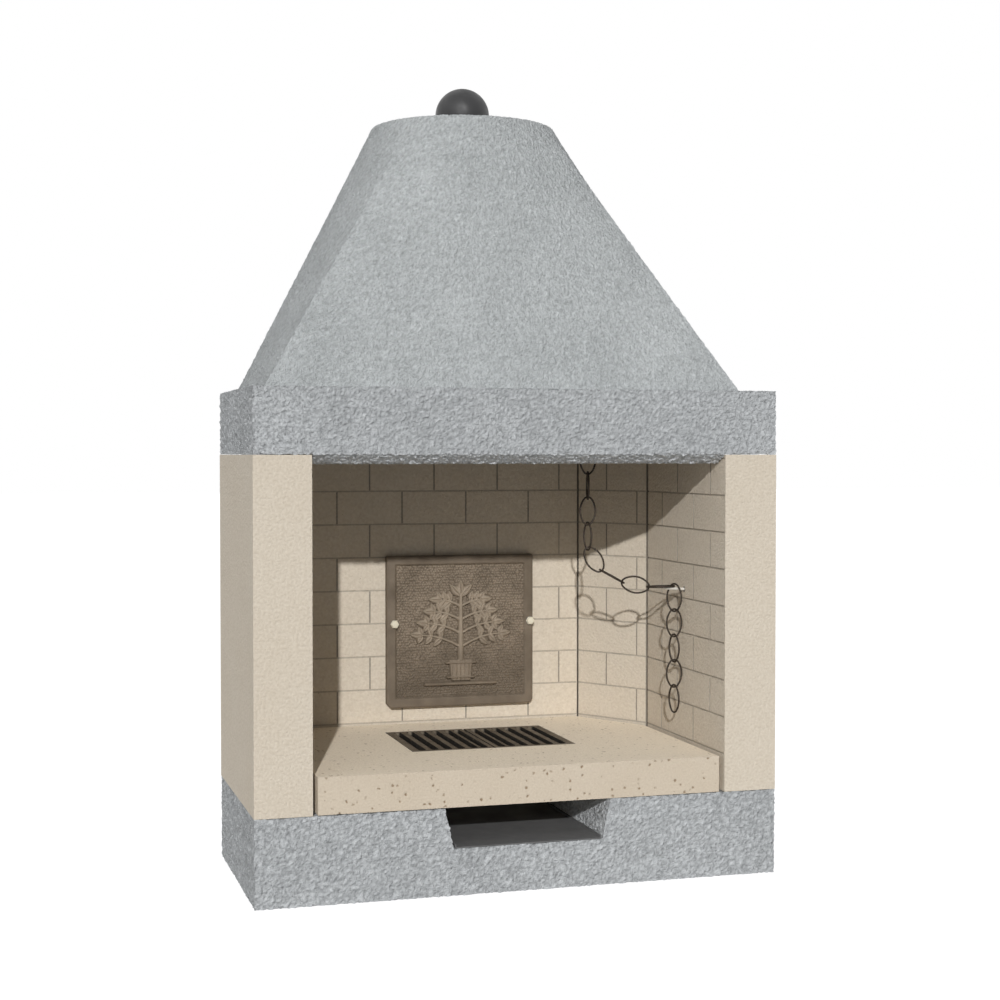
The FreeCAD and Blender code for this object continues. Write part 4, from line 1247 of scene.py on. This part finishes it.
for cap_share, cap_level in ((1.0, 0.0), (CHAMFER_SHARE, 1.0)):
    cap_radius = calc(bolt_tree, "MULTIPLY", bolt_corner, cap_share)
    cap = put(bolt_tree, "GeometryNodeMeshCircle", {"Vertices": 6, "Radius": cap_radius}, fill_type="NGON")
    lift = calc(bolt_tree, "MULTIPLY", bolt_in["Head"], cap_level)
    bolt_parts.append(shifted(bolt_tree, cap, {2: lift}))
shank_radius = calc(bolt_tree, "MULTIPLY", bolt_in["Shank"], 0.5)
bolt_shank = put(
    bolt_tree,
    "GeometryNodeMeshCylinder",
    {"Vertices": SHANK_SIDES, "Radius": shank_radius, "Depth": bolt_in["Length"]},
)
bolt_drop = calc(bolt_tree, "MULTIPLY", bolt_in["Length"], -0.5)
bolt_whole = joined(
    bolt_tree,
    [merged(bolt_tree, joined(bolt_tree, bolt_parts)), shifted(bolt_tree, bolt_shank, {2: bolt_drop})],
)
close_on_points(bolt_tree, bolt_in["Geometry"], bolt_whole, bolt_in["Finish"])


def set_points(name, places, turns):
    """Loose points with a turn each, for a tree that puts a copy of its piece on every point."""
    mesh = bpy.data.meshes.new(name)
    mesh.from_pydata(places, [], [])
    layer = mesh.attributes.new("turn", "FLOAT_VECTOR", "POINT")
    layer.data.foreach_set("vector", [value for turn in turns for value in turn])
    return link_object(name, mesh)


def make_bolts(name, places, turn, ease, flats, head, shank, length, finish):
    """Hexagon-headed bolts or screws at some places, all turned the same way."""
    piece = set_points(name, places, [turn] * len(places))
    values = {"Flats": flats, "Head": head, "Shank": shank, "Length": length, "Finish": finish}
    make_real(piece, bolt_tree, values, BOLT_SMOOTH)
    ease_edges(piece, ease)
    return piece


cream_paint = metal(
    "cream_heat_paint", tone(240, 233, 212), tone(220, 210, 186), tone(248, 243, 228), patch=0.01,
    grain=0.0012, grain_depth=0.00008, roughness=0.5, metallic=0.0, wear=0.2,
)
bolts = make_bolts(
    "fireback_bolt_pair", [(x, BOLT_SEAT, z) for x, z in BOLT_PLACES], (math.pi / 2, 0.0, 0.0), BOLT_EASE,
    BOLT_FLATS, BOLT_HEAD, BOLT_SHANK, BOLT_REAR - BOLT_SEAT, cream_paint,
)
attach(bolts, "root")
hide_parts("fireback_bolt_left", "fireback_bolt_right")

mild_steel = metal(
    "oiled_mild_steel", tone(104, 102, 98), tone(74, 71, 67), tone(160, 158, 152), patch=0.03, grain=0.0015,
    grain_depth=0.00008, roughness=0.5, metallic=0.7, wear=0.5,
)
washers = cad_piece("fireback_washer_pair", "fireback_washers", WASHER_EASE, mild_steel)
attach(washers, "root")
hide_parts("fireback_washers")

# Peg. A short steel pin, tilted up a little, that is driven into a sleeve in the right wall.
# The chain is hooked over it and has rubbed it bright.
PEG_EASE = 0.0012
SLEEVE_EASE = 0.0003
bright_steel = metal(
    "rubbed_bright_steel", tone(238, 234, 226), tone(214, 208, 198), tone(248, 246, 240), patch=0.012,
    grain=0.001, grain_depth=0.00005, roughness=0.4, metallic=0.1, wear=0.4,
)
peg = cad_piece("chain_peg_pin", "chain_peg", PEG_EASE, bright_steel, segments=3)
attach(peg, "root")
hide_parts("chain_peg")
sleeve = cad_piece("peg_sleeve_tube", "peg_sleeve", SLEEVE_EASE, mild_steel)
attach(sleeve, "root")
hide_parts("peg_sleeve")

# Lintel frame. A ring of the plinth's rough-cast grey concrete that sits on the walls and ties them
# together. Its front beam has a lip that drops between the side walls, with a sloping face below the edge.
lintel_low, lintel_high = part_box("lintel_frame")
WALL_TOP = wall_high.z
FRAME_TOP = lintel_high.z
LIP_LOW = lintel_low.z
LIP_HALF = 0.489
LIP_SLOPE_END = FRONT + 0.038
LIP_ROUGH = 1.5
LIP_UNDER_ROWS = 18
LIP_REAR_ROWS = 3
BEAM_REAR = FRONT + 0.17
SMOKE_ROWS = 8
SMOKE_ROUGH = 0.6

bm = new_block()
frame_rows = cells(FRAME_TOP - WALL_TOP, LUMP_CELL)
lip_columns = cells(2 * LIP_HALF, LUMP_CELL)
end_columns = cells(HALF_WIDTH - LIP_HALF, LUMP_CELL)
beam_rows = cells(BEAM_REAR - FRONT, LUMP_CELL)
flank_columns = cells(FLANK_END - BEAM_REAR, LUMP_CELL)
chamfer_columns = cells(math.dist((HALF_WIDTH, FLANK_END), (REAR_HALF, REAR)), REAR_CELL)
rear_columns = cells(2 * REAR_HALF, REAR_CELL)
lip_rows = cells(math.dist((FRONT, WALL_TOP), (LIP_SLOPE_END, LIP_LOW)), LUMP_CELL)


def upstand(path):
    """Outer side of the frame over a line of its plan."""
    span(bm, at(path, WALL_TOP), at(path, FRAME_TOP), frame_rows)


def top_face(start, end, rows):
    span(bm, at(start, FRAME_TOP), at(end, FRAME_TOP), rows)


def smoke_side(path, high, low, rows):
    """Inner side of the frame, which the smoke passes."""
    span(bm, at(path, high), at(path, low), rows, SMOKE_ROUGH)


front_line = plan_line((-LIP_HALF, FRONT), (LIP_HALF, FRONT), lip_columns)
beam_line = plan_line((-LIP_HALF, BEAM_REAR), (LIP_HALF, BEAM_REAR), lip_columns)
rear_line = plan_line((REAR_HALF, REAR), (-REAR_HALF, REAR), rear_columns)
smoke_rear_line = plan_line(
    (FIREBOX_REAR_HALF, FIREBOX_REAR), (-FIREBOX_REAR_HALF, FIREBOX_REAR), rear_columns
)
upstand(front_line)
top_face(front_line, beam_line, beam_rows)
smoke_side(beam_line, FRAME_TOP, WALL_TOP, SMOKE_ROWS)
smoke_side(beam_line, WALL_TOP, LIP_LOW, LIP_REAR_ROWS)
lip_slope = at([(x, LIP_SLOPE_END) for x, y in front_line], LIP_LOW)
span(bm, at(front_line, WALL_TOP), lip_slope, lip_rows, LIP_ROUGH)
span(bm, lip_slope, at(beam_line, LIP_LOW), LIP_UNDER_ROWS)
upstand(rear_line)
top_face(rear_line, smoke_rear_line, end_columns)
smoke_side(smoke_rear_line, FRAME_TOP, WALL_TOP, SMOKE_ROWS)
for side in (-1, 1):
    outer_x, smoke_x = side * HALF_WIDTH, side * LIP_HALF
    end_line = plan_line((smoke_x, FRONT), (outer_x, FRONT), end_columns)
    end_rear = plan_line((smoke_x, BEAM_REAR), (outer_x, BEAM_REAR), end_columns)
    end_side = plan_line((outer_x, FRONT), (outer_x, BEAM_REAR), beam_rows)
    flank_outer = plan_line((outer_x, BEAM_REAR), (outer_x, FLANK_END), flank_columns)
    flank_inner = plan_line((smoke_x, BEAM_REAR), (smoke_x, FIREBOX_FLANK_END), flank_columns)
    chamfer_outer = plan_line((outer_x, FLANK_END), (side * REAR_HALF, REAR), chamfer_columns)
    chamfer_inner = plan_line(
        (smoke_x, FIREBOX_FLANK_END), (side * FIREBOX_REAR_HALF, FIREBOX_REAR), chamfer_columns
    )
    upstand(end_line)
    top_face(end_line, end_rear, beam_rows)
    for path in (end_side, flank_outer, chamfer_outer):
        upstand(path)
    top_face(flank_inner, flank_outer, end_columns)
    top_face(chamfer_inner, chamfer_outer, end_columns)
    smoke_side(flank_inner, FRAME_TOP, WALL_TOP, SMOKE_ROWS)
    smoke_side(chamfer_inner, FRAME_TOP, WALL_TOP, SMOKE_ROWS)
weld(bm)
for side in (-1, 1):
    lip_end = []
    for vert in bm.verts:
        x, y, z = vert.co
        if abs(x - side * LIP_HALF) < NEAR and z < WALL_TOP + NEAR and y < BEAM_REAR + NEAR:
            lip_end.append(vert)
    lip_end.sort(key=lambda vert: (round(vert.co.y, 5), vert.co.z))
    bm.faces.new(lip_end)
close_holes(bm)
lintel = rough_cast(
    bm, "lintel_ring", block_cast, lump=0.0112, relief=0.006, grain=0.0055, grain_share=0.35
)
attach(lintel, "root")
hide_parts("lintel_frame")

# Hood. A hollow shell of the same grey concrete, cast over a former from a six-sided foot to a round
# collar. It stands on the frame, and its skin is finer than the blocks'. The collar has the flue throat
# and a recess for the damper seat.
hood_low, hood_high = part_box("hood")
HOOD_TOP = hood_high.z
FLUE_Y = 0.1335
HOOD_HALF = hood_high.x
HOOD_FRONT = hood_low.y
HOOD_FLANK_END = 0.145
HOOD_REAR = hood_high.y
HOOD_REAR_HALF = 0.4364
CAVITY_HALF = 0.534
CAVITY_FRONT = -0.255
CAVITY_REAR = 0.33
CAVITY_REAR_HALF = 0.4193
COLLAR_LOW = 1.758
COLLAR_RADIUS = 0.2325
CAVITY_RADIUS = 0.1875
THROAT_RADIUS = 0.12
RECESS_RADIUS = 0.1505
RECESS_FLOOR = 1.806
CORNER_ANGLES = (225.0, 315.0, 375.0, 415.0, 485.0, 525.0, 585.0)
HOOD_COLUMNS = (290, 64, 18, 44, 18, 90)
HOOD_ROWS = 165


def foot_loop(half, front, rear, rear_half):
    """Six-sided loop of points on the frame's top."""
    corners = [
        (-half, front), (half, front), (half, HOOD_FLANK_END),
        (rear_half, rear), (-rear_half, rear), (-half, HOOD_FLANK_END), (-half, front),
    ]
    return path_loop(corners, HOOD_COLUMNS, FRAME_TOP)


def collar_loop(radius, level):
    """Round loop of points about the flue, divided as the foot is."""
    loop = []
    for begin, end, count in zip(CORNER_ANGLES, CORNER_ANGLES[1:], HOOD_COLUMNS):
        for step in range(count):
            angle = math.radians(begin + (end - begin) * step / count)
            loop.append(Vector((radius * math.cos(angle), FLUE_Y + radius * math.sin(angle), level)))
    return loop


bm = new_block()
hood_foot = foot_loop(HOOD_HALF, HOOD_FRONT, HOOD_REAR, HOOD_REAR_HALF)
cavity_foot = foot_loop(CAVITY_HALF, CAVITY_FRONT, CAVITY_REAR, CAVITY_REAR_HALF)
hood_loops = [
    hood_foot, collar_loop(COLLAR_RADIUS, HOOD_TOP), collar_loop(RECESS_RADIUS, HOOD_TOP),
    collar_loop(RECESS_RADIUS, RECESS_FLOOR), collar_loop(THROAT_RADIUS, RECESS_FLOOR),
    collar_loop(THROAT_RADIUS, COLLAR_LOW), collar_loop(CAVITY_RADIUS, COLLAR_LOW), cavity_foot, hood_foot,
]
hood_rows = (HOOD_ROWS, 5, 1, 1, 2, 1, 6, 1)
hood_roughs = (1.0, 0.5, 0.0, 0.0, 0.0, 0.0, 0.4, 0.0)
for lower, upper, rows, rough in zip(hood_loops, hood_loops[1:], hood_rows, hood_roughs):
    span(bm, lower, upper, rows, rough, closed=True)
weld(bm)
hood_cast = mineral(
    "fine_cast_hood", tone(199, 203, 204), tone(138, 141, 142), tone(232, 236, 237), patch=0.2,
    grain=0.0052, grain_shade=0.3, grain_depth=0.0038, roughness=0.78, relief_shading=0.62,
)
hood = rough_cast(bm, "hood_shell", hood_cast, lump=0.01, relief=0.0045, grain=0.007, grain_share=0.5)
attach(hood, "root")
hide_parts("hood")

# Damper seat and guide. A cast-iron ring lies in the collar's recess; below it a flat steel strap is
# screwed across the throat and guides the lift rod. All of it is dark with soot.
SEAT_RADIUS = 0.15
SEAT_BORE = 0.118
SEAT_EASE = 0.0012
STRAP_EASE = 0.0008
SCREW_PLACES = [(-0.131, FLUE_Y, 1.752), (0.131, FLUE_Y, 1.752)]
SCREW_FLATS = 0.013
SCREW_HEAD = 0.0055
SCREW_SHANK = 0.008
SCREW_LENGTH = 0.036
SCREW_EASE = 0.0004
TURNED_SMOOTH = 38


def turned(name, profile, segments=96):
    """Piece turned about the flue's axis; profile is an outline of radius and height, outside going up."""
    bm = bmesh.new()
    rings = []
    for radius, level in profile:
        if radius < NEAR:
            rings.append([bm.verts.new((0.0, FLUE_Y, level))])
            continue
        angles = [2 * math.pi * step / segments for step in range(segments)]
        rings.append([
            bm.verts.new((radius * math.cos(angle), FLUE_Y + radius * math.sin(angle), level))
            for angle in angles
        ])
    if profile[0][0] > NEAR:
        rings.append(rings[0])
    for low, high in zip(rings, rings[1:]):
        for step in range(segments):
            following = (step + 1) % segments
            corners = [low[step % len(low)], low[following % len(low)]]
            corners += [high[following % len(high)], high[step % len(high)]]
            bm.faces.new(list(dict.fromkeys(corners)))
    return link_object(name, finished_mesh(bm, name, TURNED_SMOOTH))


dark_iron = metal(
    "sooty_cast_iron", tone(66, 66, 67), tone(42, 42, 43), tone(104, 104, 104), patch=0.03, grain=0.0018,
    grain_depth=0.00015, roughness=0.5, metallic=0.3, wear=0.3,
)
seat = turned(
    "damper_seat_ring",
    [
        (SEAT_BORE, RECESS_FLOOR), (SEAT_RADIUS, RECESS_FLOOR), (SEAT_RADIUS, HOOD_TOP - SEAT_EASE),
        (SEAT_RADIUS - SEAT_EASE, HOOD_TOP), (SEAT_BORE + SEAT_EASE, HOOD_TOP),
        (SEAT_BORE, HOOD_TOP - SEAT_EASE),
    ],
)
dress(seat, dark_iron)
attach(seat, "root")
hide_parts("damper_seat")
strap = cad_piece("rod_guide_strap", "guide_strap", STRAP_EASE, mild_steel)
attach(strap, "root")
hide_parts("guide_strap")
screws = make_bolts(
    "strap_screw_pair", SCREW_PLACES, (math.pi, 0.0, 0.0), SCREW_EASE,
    SCREW_FLATS, SCREW_HEAD, SCREW_SHANK, SCREW_LENGTH, mild_steel,
)
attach(screws, "root")
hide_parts("strap_screws")

# Damper. A round iron plate that lies on the seat ring, weighted by a ball screwed down on it; the rod
# that lifts both hangs through the throat and ends in a foot. The ball is turned, and painted dark grey.
disc_low, disc_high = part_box("damper_plate")
DISC_RADIUS = disc_high.x
DISC_LOW = disc_low.z
DISC_HIGH = disc_high.z
DISC_LOW_EASE = 0.001
DISC_HIGH_EASE = 0.002
BALL_RADIUS = 0.0685
BALL_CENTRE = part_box("damper_ball")[1].z - BALL_RADIUS
BALL_STEPS = 40
ROD_RADIUS = 0.006
ROD_FILLET = 0.002
ROD_SEGMENTS = 48
FOOT_RADIUS = 0.02
FOOT_HEIGHT = 0.006
FOOT_EASE = 0.001
damper_plate = turned(
    "damper_disc",
    [
        (0.0, DISC_LOW), (DISC_RADIUS - DISC_LOW_EASE, DISC_LOW), (DISC_RADIUS, DISC_LOW + DISC_LOW_EASE),
        (DISC_RADIUS, DISC_HIGH - DISC_HIGH_EASE), (DISC_RADIUS - DISC_HIGH_EASE, DISC_HIGH),
        (0.0, DISC_HIGH),
    ],
)
dress(damper_plate, dark_iron)
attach(damper_plate, "damper")
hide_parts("damper_plate")
ball_profile = [(0.0, DISC_HIGH)]
ball_start = math.asin((DISC_HIGH - BALL_CENTRE) / BALL_RADIUS)
for step in range(BALL_STEPS):
    angle = ball_start + (math.pi / 2 - ball_start) * step / BALL_STEPS
    ball_profile.append((BALL_RADIUS * math.cos(angle), BALL_CENTRE + BALL_RADIUS * math.sin(angle)))
ball_profile.append((0.0, BALL_CENTRE + BALL_RADIUS))
ball = turned("damper_ball_weight", ball_profile)
ball_paint = metal(
    "dark_grey_ball_paint", tone(42, 42, 43), tone(34, 34, 35), tone(66, 66, 66), patch=0.03, grain=0.0012,
    grain_depth=0.00003, roughness=0.45, metallic=0.0, wear=0.2,
)
dress(ball, ball_paint)
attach(ball, "damper")
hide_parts("damper_ball")
foot_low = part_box("lift_rod")[0].z
foot_high = foot_low + FOOT_HEIGHT
rod = turned(
    "damper_lift_rod",
    [
        (0.0, foot_low), (FOOT_RADIUS - FOOT_EASE, foot_low), (FOOT_RADIUS, foot_low + FOOT_EASE),
        (FOOT_RADIUS, foot_high - FOOT_EASE), (FOOT_RADIUS - FOOT_EASE, foot_high),
        (ROD_RADIUS + ROD_FILLET, foot_high), (ROD_RADIUS, foot_high + ROD_FILLET), (ROD_RADIUS, DISC_LOW),
        (0.0, DISC_LOW),
    ],
    ROD_SEGMENTS,
)
dress(rod, mild_steel)
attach(rod, "damper")
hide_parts("lift_rod")

# Rocker. A flat steel crossbar lies on the frame inside the hood and carries two angle brackets; a round
# shaft turns in them. The chain pulls one arm of the shaft down, and the other arm pushes the lift rod up.
BAR_EASE = 0.0006
for bar_node, bar_name, bar_body in (
    ("crossbar", "rocker_crossbar", "root"),
    ("shaft_bracket_inner", "inner_shaft_bracket", "root"),
    ("shaft_bracket_outer", "outer_shaft_bracket", "root"),
    ("rocker_shaft", "rocker_shaft_bar", "rocker"),
    ("lift_arm", "rocker_lift_arm", "rocker"),
    ("chain_arm", "rocker_chain_arm", "rocker"),
):
    bar = cad_piece(bar_name, bar_node, BAR_EASE, mild_steel)
    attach(bar, bar_body)
    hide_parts(bar_node)

# Chain. Long oval links bent from iron wire and welded shut at one side. It hangs from the rocker's arm,
# runs slack across to the peg, is hooked over it, and its spare end hangs down. The iron is dark brown
# from the fire.
LINK_WIRE = 0.0046
LINK_LENGTH = 0.073
LINK_WIDTH = 0.0446
LINK_END_RADIUS = 0.0125
LINK_PITCH = 0.0629
LINK_SMOOTH = 180
WIRE_SIDES = 14
END_POINTS = 14
SIDE_POINTS = 18
CHAIN_DROP = 0.50845
UPPER_TURNS = (0.0, 98.0, 0.0, 98.0, 0.0, 78.0, 0.0, 98.0)
TAIL_TURNS = (-50.0, 0.0, 105.0, 0.0, 105.0)
RUN_END = Vector((0.25868, -0.097246, 0.760396))
HOOKED_START = 0.00275
UPRIGHT = Vector((0.0, 0.0, 1.0))

link_half = LINK_LENGTH / 2 - LINK_WIRE / 2
link_breadth = LINK_WIDTH / 2 - LINK_WIRE / 2
link_side_radius = (link_half ** 2 + link_breadth ** 2 - 2 * link_half * LINK_END_RADIUS) / (
    2 * (link_breadth - LINK_END_RADIUS)
)
link_end_centre = link_half - LINK_END_RADIUS
link_side_centre = link_side_radius - link_breadth
link_end_sweep = 2 * math.atan2(link_side_centre, link_end_centre)

# Link tree: four arcs joined into one loop, swept with round wire and put on every point
link_tree, link_in = geometry_tree(
    "oval_links",
    "Wire", "End Radius", "End Centre", "End Sweep", "Side Radius", "Side Centre", "Side Sweep",
)
link_arcs = []
for arc_name, heading, count, outward in (
    ("End", math.pi / 2, END_POINTS, 1.0),
    ("Side", 0.0, SIDE_POINTS, -1.0),
    ("End", 3 * math.pi / 2, END_POINTS, 1.0),
    ("Side", math.pi, SIDE_POINTS, -1.0),
):
    radius, centre, sweep = [link_in[f"{arc_name} {size}"] for size in ("Radius", "Centre", "Sweep")]
    start = calc(link_tree, "SUBTRACT", heading, calc(link_tree, "MULTIPLY", sweep, 0.5))
    arc = put(
        link_tree,
        "GeometryNodeCurveArc",
        {"Resolution": count, "Radius": radius, "Start Angle": start, "Sweep Angle": sweep},
        mode="RADIUS",
    )
    shift = {
        0: calc(link_tree, "MULTIPLY", centre, outward * math.cos(heading)),
        1: calc(link_tree, "MULTIPLY", centre, outward * math.sin(heading)),
    }
    link_arcs.append(put(link_tree, "GeometryNodeCurveToMesh", {0: shifted(link_tree, arc, shift)}))
link_loop = merged(link_tree, joined(link_tree, link_arcs))
link_path = put(link_tree, "GeometryNodeMeshToCurve", {0: link_loop})
link_round = put(
    link_tree,
    "GeometryNodeCurvePrimitiveCircle",
    {"Resolution": WIRE_SIDES, "Radius": calc(link_tree, "MULTIPLY", link_in["Wire"], 0.5)},
    mode="RADIUS",
)
link_body = put(link_tree, "GeometryNodeCurveToMesh", {0: link_path, 1: link_round})
close_on_points(link_tree, link_in["Geometry"], link_body, link_in["Finish"])

chain_iron = metal(
    "fire_browned_chain_iron", tone(66, 56, 46), tone(44, 37, 30), tone(104, 94, 82), patch=0.012,
    grain=0.0012, grain_depth=0.00012, roughness=0.55, metallic=0.35, wear=0.3,
)


def link_turning(along, facing):
    """Turn of a link whose long way lies along along and whose flat side faces facing."""
    across = facing.cross(along)
    return Matrix((across, along, across.cross(along))).transposed().to_euler()


def hanging_turn(degrees):
    """Turn of an upright link, by the way that its flat side faces in plan."""
    facing = Vector((-math.sin(math.radians(degrees)), math.cos(math.radians(degrees)), 0.0))
    return link_turning(UPRIGHT, facing)


def make_links(name, body, nodes, places, turns):
    piece = set_points(name, places, turns)
    values = {
        "Wire": LINK_WIRE, "End Radius": LINK_END_RADIUS, "End Centre": link_end_centre,
        "End Sweep": link_end_sweep, "Side Radius": link_side_radius, "Side Centre": link_side_centre,
        "Side Sweep": math.pi - link_end_sweep, "Finish": chain_iron,
    }
    make_real(piece, link_tree, values, LINK_SMOOTH)
    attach(piece, body)
    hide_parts(*nodes)


joints = {joint["name"]: joint for joint in frame["joints"]}
chain_x, chain_y, chain_top = joints["hanging_chain_swivel"]["pos_m"]
upper_count = len(UPPER_TURNS)
make_links(
    "hanging_links", "hanging_chain", [f"chain_upper_{index + 1}" for index in range(upper_count)],
    [
        Vector((chain_x, chain_y, chain_top - CHAIN_DROP + (upper_count - 0.5 - index) * LINK_PITCH))
        for index in range(upper_count)
    ],
    [hanging_turn(degrees) for degrees in UPPER_TURNS],
)
run_normal = Vector(joints["run_link_1_turn"]["axis"])
run_points = [Vector(joints[f"run_link_{index}_turn"]["pos_m"]) for index in range(1, 5)] + [RUN_END]
run_points[0] += (run_points[1] - run_points[0]).normalized() * HOOKED_START
for index, (begin, end) in enumerate(zip(run_points, run_points[1:])):
    along = (end - begin).normalized()
    facing = run_normal if index % 2 else along.cross(run_normal)
    make_links(
        f"slack_link_{index + 1}", f"run_link_{index + 1}", [f"chain_run_{index + 1}"],
        [(begin + end) / 2], [link_turning(along, facing)],
    )
tail_x, tail_y, tail_top = joints["tail_link_1_swing"]["pos_m"]
for index, degrees in enumerate(TAIL_TURNS):
    make_links(
        f"tail_link_ring_{index + 1}", f"tail_link_{index + 1}", [f"chain_tail_{index + 1}"],
        [Vector((tail_x, tail_y, tail_top - (index + 0.5) * LINK_PITCH))], [hanging_turn(degrees)],
    )
